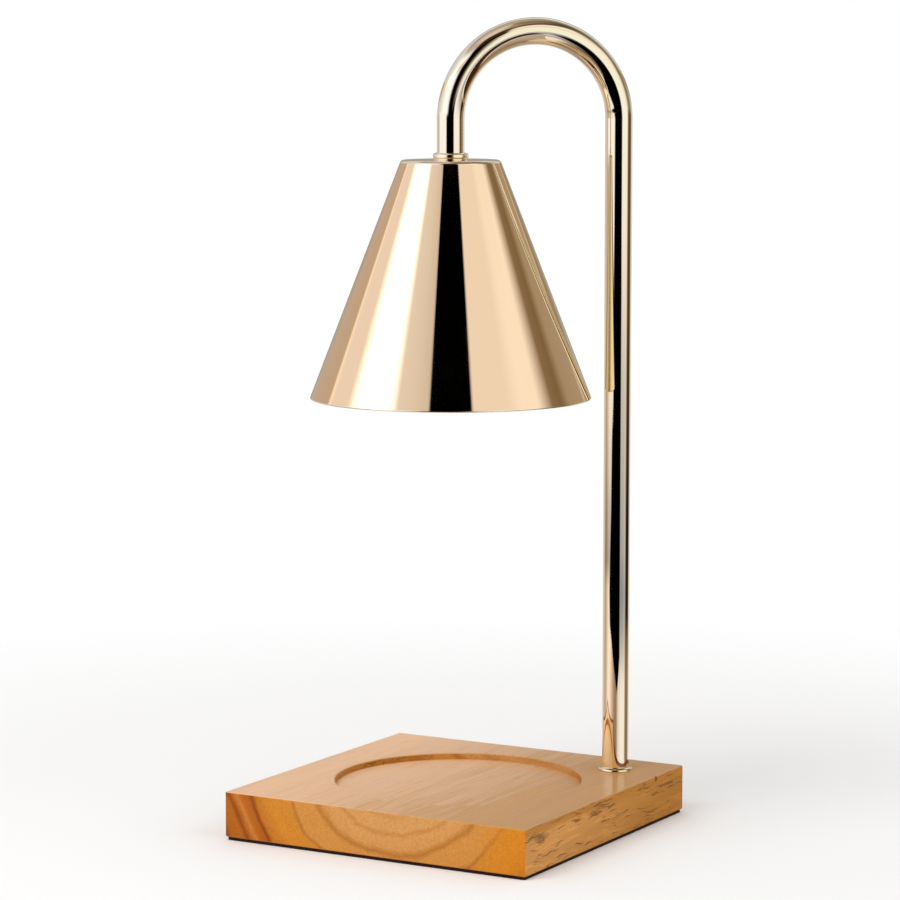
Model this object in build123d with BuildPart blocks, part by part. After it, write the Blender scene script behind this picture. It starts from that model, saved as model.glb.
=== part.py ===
from build123d import *

import os
from math import sqrt

# Candle warmer lamp: a square wooden base, a hooked tube post and a spun metal shade that
# holds a GU10 halogen bulb over a jar candle.  Sizes are in millimetres, +Z is up and the
# origin is the bottom centre of the base.  Each block makes one piece of the lamp.

# ---------------------------------------------------------------- driving dimensions
# wooden base and the pad under it
base_side = 150.0
wood_thickness = 20.0
base_corner_radius = 1.2
base_edge_radius = 0.7
pad_thickness = 1.5
pad_inset = 0.8
recess_diameter = 110.0
recess_depth = 3.0
recess_lip_chamfer = 0.4

# hooked tube
post_edge_distance = 23.0
hook_overshoot = 3.46
arch_spring_height = 313.8
tube_diameter = 12.0
tube_wall = 1.5
tube_end_wall = 1.0

# spun shade
shade_rim_diameter = 124.0
shade_top_diameter = 43.4
shade_height = 104.5
shade_top_height = 296.5
shade_wall = 1.0
shade_shoulder_radius = 2.0
shade_rim_radius = 0.4

# hollow M10x1 nipples, thin nuts and washers
nipple_wall = 1.5
nipple_in_tube = 10.0
nipple_past_nut = 1.2
nipple_chamfer = 0.5
nut_wall = 2.0
nut_height = 3.0
nut_chamfer = 0.4
lock_washer_width = 3.0
lock_washer_thickness = 0.8
lock_washer_teeth = 10
tooth_gap_width = 1.2
tooth_gap_depth = 1.2
foot_washer_width = 7.0
foot_washer_thickness = 1.5

# collars at the two ends of the tube
collar_web = 1.0
shade_collar_overhang = 1.7
shade_collar_height = 3.0
shade_collar_foot_inset = 0.5
shade_collar_foot_height = 0.6
shade_collar_lip = 0.8
foot_collar_overhang = 1.9
foot_collar_height = 1.6
foot_collar_lip = 0.6
foot_collar_toe = 0.3

# strap that carries the lamp holder
bracket_height = 15.0
bracket_screw_margin = 4.2
bracket_depth = 12.0
bracket_thickness = 1.2
bracket_bend_radius = 1.0
bracket_feet_gap = 14.0

# GU10 lamp holder
holder_diameter = 31.0
holder_across_flats = 27.0
holder_height = 15.0
holder_edge_chamfer = 0.8
holder_front_wall = 3.0
cover_thickness = 3.0
pin_circle_radius = 5.0
twist_angle = 45.0
pin_head_diameter = 5.0
pin_head_height = 2.2
pin_head_chamfer = 0.4
pin_shank_diameter = 2.8
pin_shank_length = 3.8
pin_root_length = 5.0
entry_clearance = 0.3
slot_clearance = 0.3
chamber_clearance = 0.6
contact_thickness = 0.6
contact_strip_width = 3.5
contact_length = 8.0
contact_tab_length = 5.5
contact_inset = 0.2
holder_screw_diameter = 3.0
holder_screw_margin = 4.5
holder_screw_head_diameter = 5.5
holder_screw_head_height = 2.0
holder_screw_length = 16.0
holder_screw_sink = 4.0

# GU10 halogen bulb
bulb_diameter = 50.0
bulb_length = 47.0
bulb_base_height = 15.0
bulb_base_top_diameter = 22.0
bulb_base_diameter = 26.0
bulb_base_taper = 3.5
bulb_base_chamfer = 0.8
bulb_neck_diameter = 19.6
bulb_neck_length = 7.0
reflector_wall = 1.4
reflector_rim_height = 3.6
reflector_rim_step = 1.0
reflector_rim_lip = 0.4
bowl_shoulder_height = 3.2
bowl_shoulder_radius = 11.5
front_glass_thickness = 2.0
front_glass_setback = 0.6
front_glass_chamfer = 0.5
capsule_diameter = 9.0
capsule_wall = 0.8
capsule_length = 15.0
pinch_width = 8.0
pinch_thickness = 3.4
pinch_length = 8.0
filament_wire_diameter = 0.6
filament_coil_diameter = 1.6
filament_coil_length = 4.0
filament_leg_spacing = 5.0
filament_depth = 7.0

# wiring
flex_room = 0.8
lead_diameter = 2.0
lead_spacing = 2.2
lead_hole_diameter = 2.8
holder_lead_inset = 1.0
holder_lead_bend_radius = 3.0
holder_lead_turns = (0.72, 0.25)
base_lead_bend_radius = 2.4
lead_turn_gap = 2.0
stripped_end = 0.5

# hollows under the base
foot_web = 7.0
foot_counterbore_room = 1.0
pocket_center_x = 18.0
pocket_end_room = 7.5
pocket_side_room = 3.0
pocket_corner_radius = 3.0
wire_groove_width = 13.0
wire_groove_depth = 9.0
wire_lift = 3.5

# cord inlet in the back face
inlet_x = 7.0
inlet_lift = 7.0
bushing_diameter = 9.0
bushing_flange_diameter = 11.0
bushing_flange_thickness = 1.5
cord_bore_diameter = 6.2

# terminal block in the pocket
block_ground_gap = 2.0
block_height = 11.0
block_end_wall = 1.5
block_side_wall = 4.0
pole_spacing = 10.0
saddle_wall = 0.6
saddle_depth = 2.5
terminal_tube_diameter = 4.0
terminal_tube_bore = 2.6
terminal_tube_length = 14.0
terminal_lift = 5.5
terminal_screw_diameter = 2.5
terminal_screw_length = 4.0
terminal_screw_spacing = 8.0
terminal_screw_access = 3.0
terminal_screw_slot = 0.4
fixing_screw_diameter = 3.0
fixing_screw_head_diameter = 5.4
fixing_screw_head_height = 1.6
fixing_screw_bite = 2.5

# clearances, each one radial or face to face
thread_clearance = 0.05
hole_clearance = 0.2
push_fit = 0.05
bulb_seat_gap = 0.3
screw_slot_width = 0.8
screw_slot_depth = 0.8

# ---------------------------------------------------------------- derived places
base_top = pad_thickness + wood_thickness
recess_floor = base_top - recess_depth
foot_roof = base_top - foot_web
post_offset = base_side / 2 - post_edge_distance
hook_spacing = post_offset * sqrt(2) + hook_overshoot
shade_offset = post_offset - hook_spacing / sqrt(2)
bend_radius = hook_spacing / 2
tube_radius = tube_diameter / 2
rim_height = shade_top_height - shade_height

nipple_diameter = tube_diameter - 2 * tube_end_wall
nipple_bore = nipple_diameter - 2 * nipple_wall
flex_diameter = nipple_bore - 2 * flex_room
nut_across_flats = nipple_diameter + 2 * nut_wall
lock_washer_diameter = nipple_diameter + 2 * lock_washer_width
foot_washer_diameter = nipple_diameter + 2 * foot_washer_width
foot_counterbore_diameter = foot_washer_diameter + 2 * foot_counterbore_room
shade_collar_radius = tube_radius + shade_collar_overhang
shade_collar_foot_radius = shade_collar_radius - shade_collar_foot_inset
foot_collar_radius = tube_radius + foot_collar_overhang

leg_end = shade_top_height + collar_web
foot_end = base_top + collar_web
nipple_hole_radius = nipple_diameter / 2 + hole_clearance

holder_screw_spacing = holder_diameter - 2 * holder_screw_margin
bracket_width = holder_screw_spacing + 2 * bracket_screw_margin
bracket_top = shade_top_height - shade_wall
shade_washer_top = bracket_top - bracket_thickness
shade_nut_top = shade_washer_top - lock_washer_thickness
shade_nipple_end = shade_nut_top - nut_height - nipple_past_nut
cover_top = bracket_top - bracket_height
holder_top = cover_top - cover_thickness
holder_front = holder_top - holder_height

foot_lock_washer_top = foot_roof - foot_washer_thickness
foot_nut_top = foot_lock_washer_top - lock_washer_thickness
foot_nipple_end = foot_nut_top - nut_height - nipple_past_nut

bulb_seat = holder_front - bulb_seat_gap
bulb_front = bulb_seat - bulb_length
bulb_base_bottom = bulb_seat - bulb_base_height
neck_top = bulb_base_bottom + bulb_neck_length
pin_head_bottom = bulb_seat + pin_shank_length
pin_head_top = pin_head_bottom + pin_head_height
chamber_width = pin_head_diameter + 2 * chamber_clearance
holder_lead_spacing = 2 * (pin_circle_radius - holder_lead_inset)
lock_angle = 90 + twist_angle / 2
entry_angle = 90 - twist_angle / 2

block_bottom = pad_thickness + block_ground_gap
block_length = terminal_tube_length + 2 * block_end_wall
block_width = pole_spacing + 2 * block_side_wall
block_left = pocket_center_x - block_length / 2
block_right = pocket_center_x + block_length / 2
pocket_roof = block_bottom + block_height
pocket_length = block_length + 2 * pocket_end_room
pocket_width = block_width + 2 * pocket_side_room
pocket_center_y = post_offset
pocket_back = pocket_center_y + pocket_width / 2
wire_groove_roof = pad_thickness + wire_groove_depth
wire_height = pad_thickness + wire_lift
inlet_height = pad_thickness + inlet_lift
terminal_height = block_bottom + terminal_lift
saddle_width = pole_spacing - terminal_screw_access - 2 * saddle_wall
saddle_roof = block_bottom + saddle_depth
fixing_head_bottom = saddle_roof - fixing_screw_head_height
fixing_screw_tip = pocket_roof + fixing_screw_bite

rim_top = bulb_front + reflector_rim_height
glass_bottom = bulb_front + front_glass_setback
glass_top = glass_bottom + front_glass_thickness
neck_radius = bulb_neck_diameter / 2
bowl_radius = bulb_diameter / 2 - reflector_rim_step
glass_seat_radius = bowl_radius - reflector_rim_lip
pinch_bottom = neck_top - pinch_length

# the hook lies in a vertical plane through the base's diagonal
hook_direction = (1, 1, 0)
hook_normal = (1, -1, 0)
shade_section = Plane((shade_offset, shade_offset, 0), x_dir=hook_direction, z_dir=hook_normal)
post_section = Plane((post_offset, post_offset, 0), x_dir=hook_direction, z_dir=hook_normal)
shade_axis = Axis((shade_offset, shade_offset, 0), (0, 0, 1))
post_axis = Axis((post_offset, post_offset, 0), (0, 0, 1))
inlet_face = Plane((inlet_x, base_side / 2, inlet_height), z_dir=(0, 1, 0))


def hang(height, side=1):
    """The level plane on the shade's axis, its x along the hook; side -1 turns it half round."""
    return Plane(
        (shade_offset, shade_offset, height), x_dir=(side, side, 0), z_dir=(0, 0, 1)
    )


def at_post(height):
    """The level plane on the post's axis, its x along the row's X."""
    return Plane((post_offset, post_offset, height))


# ---------------------------------------------------------------- base
with BuildPart() as base_block:
    with BuildSketch(Plane.XY.offset(pad_thickness)):
        RectangleRounded(base_side, base_side, base_corner_radius)
    extrude(amount=wood_thickness)
    chamfer(base_block.edges().group_by(Axis.Z)[0], base_edge_radius / 2)
    fillet(base_block.edges().group_by(Axis.Z)[-1], base_edge_radius)
    # round recess for the foot of the candle jar
    with BuildSketch(Plane.XY.offset(base_top)):
        Circle(recess_diameter / 2)
    extrude(amount=-recess_depth, mode=Mode.SUBTRACT)
    recess_edges = base_block.edges().filter_by(GeomType.CIRCLE).group_by(SortBy.RADIUS)[-1]
    chamfer(recess_edges.sort_by(Axis.Z)[-1], recess_lip_chamfer)
    # bolt hole under the post, and the counterbore for its nut
    with BuildSketch(at_post(pad_thickness)):
        Circle(nipple_hole_radius)
    extrude(amount=wood_thickness, mode=Mode.SUBTRACT)
    with BuildSketch(at_post(pad_thickness)):
        Circle(foot_counterbore_diameter / 2)
    extrude(amount=foot_roof - pad_thickness, mode=Mode.SUBTRACT)
    # groove that takes the leads to the terminal block
    with BuildSketch(Plane.XY.offset(pad_thickness)):
        with Locations(((pocket_center_x + post_offset) / 2, post_offset)):
            Rectangle(post_offset - pocket_center_x, wire_groove_width)
    extrude(amount=wire_groove_roof - pad_thickness, mode=Mode.SUBTRACT)
    # pocket for the terminal block
    with BuildSketch(Plane.XY.offset(pad_thickness)):
        with Locations((pocket_center_x, pocket_center_y)):
            RectangleRounded(pocket_length, pocket_width, pocket_corner_radius)
    extrude(amount=pocket_roof - pad_thickness, mode=Mode.SUBTRACT)
    with BuildSketch(Plane.XY.offset(pocket_roof)):
        with Locations((pocket_center_x, pocket_center_y)):
            Circle(fixing_screw_diameter / 2 + thread_clearance)
    extrude(amount=fixing_screw_tip - pocket_roof + thread_clearance, mode=Mode.SUBTRACT)
    # hole through the back wall for the cord's bushing
    with BuildSketch(inlet_face):
        Circle(bushing_diameter / 2 + push_fit)
    extrude(amount=-(base_side / 2 - pocket_center_y), mode=Mode.SUBTRACT)
    with BuildSketch(inlet_face):
        Circle(bushing_flange_diameter / 2 + push_fit)
    extrude(amount=-bushing_flange_thickness, mode=Mode.SUBTRACT)
base_block.part.label = "base_block"

with BuildPart() as base_pad:
    with BuildSketch():
        RectangleRounded(
            base_side - 2 * pad_inset, base_side - 2 * pad_inset, base_corner_radius
        )
    extrude(amount=pad_thickness)
base_pad.part.label = "base_pad"

with BuildPart() as cord_bushing:
    with BuildSketch(Plane((inlet_x, pocket_back, inlet_height), z_dir=(0, 1, 0))):
        Circle(bushing_diameter / 2)
        Circle(cord_bore_diameter / 2, mode=Mode.SUBTRACT)
    extrude(amount=base_side / 2 - pocket_back)
    with BuildSketch(inlet_face):
        Circle(bushing_flange_diameter / 2)
        Circle(cord_bore_diameter / 2, mode=Mode.SUBTRACT)
    extrude(amount=-bushing_flange_thickness)
cord_bushing.part.label = "cord_bushing"

# ---------------------------------------------------------------- hooked tube
with BuildPart() as gooseneck_tube:
    with BuildLine(shade_section) as hook_line:
        leg = Line((0, leg_end), (0, arch_spring_height))
        bend = ThreePointArc(
            leg @ 1,
            (bend_radius, arch_spring_height + bend_radius),
            (hook_spacing, arch_spring_height),
        )
        Line(bend @ 1, (hook_spacing, foot_end))
    with BuildSketch(hang(leg_end)):
        Circle(tube_radius)
        Circle(tube_radius - tube_wall, mode=Mode.SUBTRACT)
    sweep(path=hook_line.line)
    # both ends are opened out and tapped for the nipples
    with BuildSketch(hang(leg_end), at_post(foot_end)):
        Circle(nipple_diameter / 2 + thread_clearance)
    extrude(amount=nipple_in_tube + thread_clearance, mode=Mode.SUBTRACT)
gooseneck_tube.part.label = "gooseneck_tube"

# ---------------------------------------------------------------- foot fastening
with BuildPart() as foot_collar:
    with BuildSketch(post_section):
        with BuildLine():
            Polyline(
                (nipple_hole_radius, base_top),
                (foot_collar_radius - foot_collar_toe, base_top),
                (foot_collar_radius, base_top + foot_collar_toe),
            )
            TangentArc(
                (foot_collar_radius, base_top + foot_collar_toe),
                (tube_radius + foot_collar_lip, base_top + foot_collar_height),
                tangent=(0, 1),
            )
            Polyline(
                (tube_radius + foot_collar_lip, base_top + foot_collar_height),
                (tube_radius + push_fit, base_top + foot_collar_height),
                (tube_radius + push_fit, foot_end),
                (nipple_hole_radius, foot_end),
                (nipple_hole_radius, base_top),
            )
        make_face()
    revolve(axis=post_axis)
foot_collar.part.label = "foot_collar"


def lock_washer(top_plane):
    """A thin washer with teeth cut into its bore."""
    with BuildPart() as washer:
        with BuildSketch(top_plane):
            Circle(lock_washer_diameter / 2)
            Circle(nipple_hole_radius, mode=Mode.SUBTRACT)
            with PolarLocations(nipple_hole_radius, lock_washer_teeth):
                Rectangle(2 * tooth_gap_depth, tooth_gap_width, mode=Mode.SUBTRACT)
        extrude(amount=-lock_washer_thickness)
    return washer


def thin_nut(top_plane):
    """A thin six-sided nut, its corners eased on the outer face."""
    with BuildPart() as nut:
        with BuildSketch(top_plane):
            RegularPolygon(nut_across_flats / 2, 6, major_radius=False)
            Circle(nipple_diameter / 2 + thread_clearance, mode=Mode.SUBTRACT)
        extrude(amount=-nut_height)
        outer_edges = nut.edges().group_by(Axis.Z)[0].filter_by(GeomType.LINE)
        chamfer(outer_edges, nut_chamfer)
    return nut


def nipple(bottom_plane, length):
    """A hollow threaded stem."""
    with BuildPart() as stem:
        with BuildSketch(bottom_plane):
            Circle(nipple_diameter / 2)
            Circle(nipple_bore / 2, mode=Mode.SUBTRACT)
        extrude(amount=length)
        chamfer(stem.edges().group_by(Axis.Z)[0].sort_by(SortBy.LENGTH)[-1], nipple_chamfer)
    return stem


foot_nipple = nipple(at_post(foot_nipple_end), foot_end + nipple_in_tube - foot_nipple_end)
foot_nipple.part.label = "foot_nipple"

with BuildPart() as foot_washer:
    with BuildSketch(at_post(foot_roof)):
        Circle(foot_washer_diameter / 2)
        Circle(nipple_hole_radius, mode=Mode.SUBTRACT)
    extrude(amount=-foot_washer_thickness)
foot_washer.part.label = "foot_washer"

foot_lock_washer = lock_washer(at_post(foot_lock_washer_top))
foot_lock_washer.part.label = "foot_lock_washer"

foot_nut = thin_nut(at_post(foot_nut_top))
foot_nut.part.label = "foot_nut"

# ---------------------------------------------------------------- terminal block
pole_places = [
    (pocket_center_x, pocket_center_y - pole_spacing / 2),
    (pocket_center_x, pocket_center_y + pole_spacing / 2),
]
screw_places = [
    (x + side * terminal_screw_spacing / 2, y) for x, y in pole_places for side in (-1, 1)
]
pole_planes = [Plane((block_left, y, terminal_height), z_dir=(1, 0, 0)) for _, y in pole_places]
tube_start = (block_length - terminal_tube_length) / 2
screw_tip = terminal_height - lead_diameter / 2 - thread_clearance

with BuildPart() as terminal_block:
    with BuildSketch(Plane.XY.offset(block_bottom)):
        with Locations((pocket_center_x, pocket_center_y)):
            Rectangle(block_length, block_width)
    extrude(amount=block_height)
    # the poles stand proud of a lower saddle that takes the fixing screw
    with BuildSketch(Plane.XY.offset(block_bottom)):
        with Locations((pocket_center_x, pocket_center_y)):
            Rectangle(block_length, saddle_width)
    extrude(amount=saddle_depth, mode=Mode.SUBTRACT)
    with BuildSketch(*pole_planes):
        Circle(terminal_tube_diameter / 2 + push_fit)
    extrude(amount=block_length, mode=Mode.SUBTRACT)
    with BuildSketch(Plane.XY.offset(block_bottom)):
        with Locations(*screw_places):
            Circle(terminal_screw_access / 2)
    extrude(amount=terminal_height - block_bottom, mode=Mode.SUBTRACT)
    with BuildSketch(Plane.XY.offset(block_bottom)):
        with Locations((pocket_center_x, pocket_center_y)):
            Circle(fixing_screw_diameter / 2 + hole_clearance)
    extrude(amount=block_height, mode=Mode.SUBTRACT)
terminal_block.part.label = "terminal_block"

with BuildPart() as terminal_tubes:
    with BuildSketch(*[plane.offset(tube_start) for plane in pole_planes]):
        Circle(terminal_tube_diameter / 2)
        Circle(terminal_tube_bore / 2, mode=Mode.SUBTRACT)
    extrude(amount=terminal_tube_length)
    with BuildSketch(Plane.XY.offset(block_bottom)):
        with Locations(*screw_places):
            Circle(terminal_screw_diameter / 2 + thread_clearance)
    extrude(amount=terminal_height - block_bottom, mode=Mode.SUBTRACT)
terminal_tubes.part.label = "terminal_tubes"

with BuildPart() as terminal_screws:
    with BuildSketch(Plane.XY.offset(screw_tip)):
        with Locations(*screw_places):
            Circle(terminal_screw_diameter / 2)
    extrude(amount=-terminal_screw_length)
    with BuildSketch(Plane.XY.offset(screw_tip - terminal_screw_length)):
        with Locations(*screw_places):
            Rectangle(terminal_screw_diameter, terminal_screw_slot)
    extrude(amount=screw_slot_depth, mode=Mode.SUBTRACT)
terminal_screws.part.label = "terminal_screws"

with BuildPart() as terminal_fixing_screw:
    with BuildSketch(Plane.XY.offset(saddle_roof)):
        with Locations((pocket_center_x, pocket_center_y)):
            Circle(fixing_screw_head_diameter / 2)
    extrude(amount=-fixing_screw_head_height)
    with BuildSketch(Plane.XY.offset(saddle_roof)):
        with Locations((pocket_center_x, pocket_center_y)):
            Circle(fixing_screw_diameter / 2)
    extrude(amount=fixing_screw_tip - saddle_roof)
    with BuildSketch(Plane.XY.offset(fixing_head_bottom)):
        with Locations((pocket_center_x, pocket_center_y)):
            Rectangle(fixing_screw_head_diameter, screw_slot_width)
    extrude(amount=screw_slot_depth, mode=Mode.SUBTRACT)
terminal_fixing_screw.part.label = "terminal_fixing_screw"

# ---------------------------------------------------------------- shade and its fastening
with BuildPart() as shade:
    with BuildSketch(shade_section):
        with BuildLine():
            Polyline(
                (0, rim_height),
                (shade_rim_diameter / 2, rim_height),
                (shade_top_diameter / 2, shade_top_height),
                (0, shade_top_height),
                close=True,
            )
        make_face()
    revolve(axis=shade_axis)
    fillet(shade.edges().group_by(Axis.Z)[-1], shade_shoulder_radius)
    offset(amount=-shade_wall, openings=shade.faces().sort_by(Axis.Z)[0])
    with BuildSketch(hang(shade_top_height)):
        Circle(nipple_hole_radius)
    extrude(amount=-2 * shade_wall, mode=Mode.SUBTRACT)
    rim_edge = shade.edges().group_by(Axis.Z)[0].sort_by(SortBy.LENGTH)[-1]
    fillet(rim_edge, min(shade_rim_radius, shade_wall / 2))
shade.part.label = "shade"

with BuildPart() as shade_collar:
    collar_shoulder = shade_top_height + shade_collar_foot_height
    collar_top = shade_top_height + shade_collar_height
    with BuildSketch(shade_section):
        with BuildLine():
            Polyline(
                (nipple_hole_radius, shade_top_height),
                (shade_collar_foot_radius, shade_top_height),
                (shade_collar_foot_radius, collar_shoulder),
            )
            ThreePointArc(
                (shade_collar_foot_radius, collar_shoulder),
                (shade_collar_radius, (collar_shoulder + collar_top) / 2),
                (tube_radius + shade_collar_lip, collar_top),
            )
            Polyline(
                (tube_radius + shade_collar_lip, collar_top),
                (tube_radius + push_fit, collar_top),
                (tube_radius + push_fit, leg_end),
                (nipple_hole_radius, leg_end),
                (nipple_hole_radius, shade_top_height),
            )
        make_face()
    revolve(axis=shade_axis)
shade_collar.part.label = "shade_collar"

shade_nipple = nipple(hang(shade_nipple_end), leg_end + nipple_in_tube - shade_nipple_end)
shade_nipple.part.label = "shade_nipple"

shade_lock_washer = lock_washer(hang(shade_washer_top))
shade_lock_washer.part.label = "shade_lock_washer"

shade_nut = thin_nut(hang(shade_nut_top))
shade_nut.part.label = "shade_nut"

# ---------------------------------------------------------------- lamp holder
holder_screw_places = [(-holder_screw_spacing / 2, 0), (holder_screw_spacing / 2, 0)]

with BuildPart() as holder_bracket:
    with BuildSketch(shade_section):
        with Locations((0, bracket_top - bracket_height / 2)):
            RectangleRounded(
                bracket_width, bracket_height, bracket_bend_radius + bracket_thickness
            )
            RectangleRounded(
                bracket_width - 2 * bracket_thickness,
                bracket_height - 2 * bracket_thickness,
                bracket_bend_radius,
                mode=Mode.SUBTRACT,
            )
        with Locations((0, cover_top + bracket_thickness / 2)):
            Rectangle(bracket_feet_gap, 2 * bracket_thickness, mode=Mode.SUBTRACT)
    extrude(amount=bracket_depth / 2, both=True)
    with BuildSketch(hang(bracket_top)):
        Circle(nipple_hole_radius)
    extrude(amount=-bracket_thickness, mode=Mode.SUBTRACT)
    with BuildSketch(hang(cover_top)):
        with Locations(*holder_screw_places):
            Circle(holder_screw_diameter / 2 + thread_clearance)
    extrude(amount=bracket_thickness, mode=Mode.SUBTRACT)
holder_bracket.part.label = "holder_bracket"

with BuildPart() as holder_cover:
    with BuildSketch(hang(cover_top)):
        Circle(holder_diameter / 2)
        Rectangle(holder_diameter, holder_across_flats, mode=Mode.INTERSECT)
        with Locations(*holder_screw_places):
            Circle(holder_screw_diameter / 2 + hole_clearance, mode=Mode.SUBTRACT)
        with GridLocations(0, holder_lead_spacing, 1, 2):
            Circle(lead_hole_diameter / 2, mode=Mode.SUBTRACT)
    extrude(amount=-cover_thickness)
holder_cover.part.label = "holder_cover"

with BuildPart() as holder_body:
    with BuildSketch(hang(holder_front)):
        Circle(holder_diameter / 2)
        Rectangle(holder_diameter, holder_across_flats, mode=Mode.INTERSECT)
    extrude(amount=holder_height)
    chamfer(holder_body.edges().group_by(Axis.Z)[0], holder_edge_chamfer)
    # one chamber for each pin and its contact, open under the cover
    pin_arc = CenterArc((0, 0), pin_circle_radius, entry_angle, twist_angle)
    with BuildSketch(hang(holder_front + holder_front_wall)):
        with PolarLocations(0, 2):
            SlotArc(pin_arc, chamber_width)
    extrude(amount=holder_height - holder_front_wall, mode=Mode.SUBTRACT)
    # keyholes in the front wall: a round entry and a narrow curved slot
    with BuildSketch(hang(holder_front)):
        with PolarLocations(0, 2):
            SlotArc(pin_arc, pin_shank_diameter + 2 * slot_clearance)
        with PolarLocations(pin_circle_radius, 2, start_angle=entry_angle):
            Circle(pin_head_diameter / 2 + entry_clearance)
    extrude(amount=holder_front_wall, mode=Mode.SUBTRACT)
    # screw holes, their heads sunk in the front
    with BuildSketch(hang(holder_front)):
        with Locations(*holder_screw_places):
            Circle(holder_screw_diameter / 2 + hole_clearance)
    extrude(amount=holder_height, mode=Mode.SUBTRACT)
    with BuildSketch(hang(holder_front)):
        with Locations(*holder_screw_places):
            Circle(holder_screw_head_diameter / 2 + hole_clearance)
    extrude(amount=holder_screw_sink, mode=Mode.SUBTRACT)
holder_body.part.label = "holder_body"

with BuildPart() as holder_contacts:
    # each one is a bent spring strip: a tab under the cover, a riser and a foot on the pin
    foot_bottom = pin_head_top + bulb_seat_gap
    strip_start = pin_circle_radius - contact_strip_width / 2 - contact_inset
    for side in (1, -1):
        side_view = Plane(
            (shade_offset, shade_offset, 0),
            x_dir=(side, side, 0),
            z_dir=(side, -side, 0),
        ).offset(-strip_start)
        with BuildSketch(side_view):
            with Locations((0, (foot_bottom + holder_top) / 2)):
                Rectangle(contact_length, holder_top - foot_bottom)
            with Locations((contact_thickness, (foot_bottom + holder_top) / 2)):
                Rectangle(
                    contact_length,
                    holder_top - foot_bottom - 2 * contact_thickness,
                    mode=Mode.SUBTRACT,
                )
            with Locations((contact_tab_length, holder_top - contact_thickness / 2)):
                Rectangle(contact_length, contact_thickness, mode=Mode.SUBTRACT)
        extrude(amount=-contact_strip_width)
holder_contacts.part.label = "holder_contacts"

with BuildPart() as holder_screws:
    head_top = holder_front + holder_screw_sink
    with BuildSketch(hang(head_top)):
        with Locations(*holder_screw_places):
            Circle(holder_screw_head_diameter / 2)
    extrude(amount=-holder_screw_head_height)
    with BuildSketch(hang(head_top)):
        with Locations(*holder_screw_places):
            Circle(holder_screw_diameter / 2)
    extrude(amount=holder_screw_length)
    with BuildSketch(hang(head_top - holder_screw_head_height)):
        with Locations(*holder_screw_places):
            Rectangle(holder_screw_head_diameter, screw_slot_width)
    extrude(amount=screw_slot_depth, mode=Mode.SUBTRACT)
holder_screws.part.label = "holder_screws"

# ---------------------------------------------------------------- GU10 bulb
with BuildPart() as bulb_pins:
    with BuildSketch(hang(bulb_seat - pin_root_length)):
        with PolarLocations(pin_circle_radius, 2, start_angle=lock_angle):
            Circle(pin_shank_diameter / 2)
    extrude(amount=pin_root_length + pin_shank_length)
    with BuildSketch(hang(pin_head_bottom)):
        with PolarLocations(pin_circle_radius, 2, start_angle=lock_angle):
            Circle(pin_head_diameter / 2)
    extrude(amount=pin_head_height)
    chamfer(bulb_pins.edges().group_by(Axis.Z)[-1], pin_head_chamfer)
bulb_pins.part.label = "bulb_pins"

with BuildPart() as bulb_base:
    with BuildSketch(shade_section):
        with BuildLine():
            Polyline(
                (0, bulb_seat),
                (bulb_base_top_diameter / 2 - bulb_base_chamfer, bulb_seat),
                (bulb_base_top_diameter / 2, bulb_seat - bulb_base_chamfer),
                (bulb_base_top_diameter / 2, neck_top + bulb_base_taper),
                (bulb_base_diameter / 2, neck_top),
                (bulb_base_diameter / 2, bulb_base_bottom),
                (neck_radius + push_fit, bulb_base_bottom),
                (neck_radius + push_fit, neck_top),
                (0, neck_top),
                close=True,
            )
        make_face()
    revolve(axis=shade_axis)
    with BuildSketch(hang(bulb_seat)):
        with PolarLocations(pin_circle_radius, 2, start_angle=lock_angle):
            Circle(pin_shank_diameter / 2 + push_fit)
    extrude(amount=-pin_root_length, mode=Mode.SUBTRACT)
bulb_base.part.label = "bulb_base"

with BuildPart() as bulb_reflector:
    # a cone below the neck that turns upright through one round shoulder above the rim
    with BuildSketch(shade_section):
        with BuildLine():
            bowl = FilletPolyline(
                (neck_radius, bulb_base_bottom),
                (bowl_radius, rim_top + bowl_shoulder_height),
                (bowl_radius, rim_top),
                radius=bowl_shoulder_radius,
            )
            Polyline(bowl @ 1, (0, rim_top), (0, bulb_base_bottom), bowl @ 0)
        make_face()
    revolve(axis=shade_axis)
    with BuildSketch(hang(bulb_base_bottom)):
        Circle(neck_radius)
    extrude(amount=neck_top - bulb_base_bottom)
    bowl_ends = bulb_reflector.faces().sort_by(Axis.Z)
    offset(amount=-reflector_wall, openings=[bowl_ends[0], bowl_ends[-1]])
    with BuildSketch(hang(bulb_front)):
        Circle(bulb_diameter / 2)
        Circle(bowl_radius - reflector_wall, mode=Mode.SUBTRACT)
    extrude(amount=reflector_rim_height)
    with BuildSketch(hang(bulb_front)):
        Circle(glass_seat_radius)
    extrude(amount=glass_top - bulb_front, mode=Mode.SUBTRACT)
bulb_reflector.part.label = "bulb_reflector"

with BuildPart() as bulb_front_glass:
    with BuildSketch(hang(glass_bottom)):
        Circle(glass_seat_radius - push_fit)
    extrude(amount=front_glass_thickness)
    chamfer(bulb_front_glass.edges().group_by(Axis.Z)[0], front_glass_chamfer)
bulb_front_glass.part.label = "bulb_front_glass"

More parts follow.
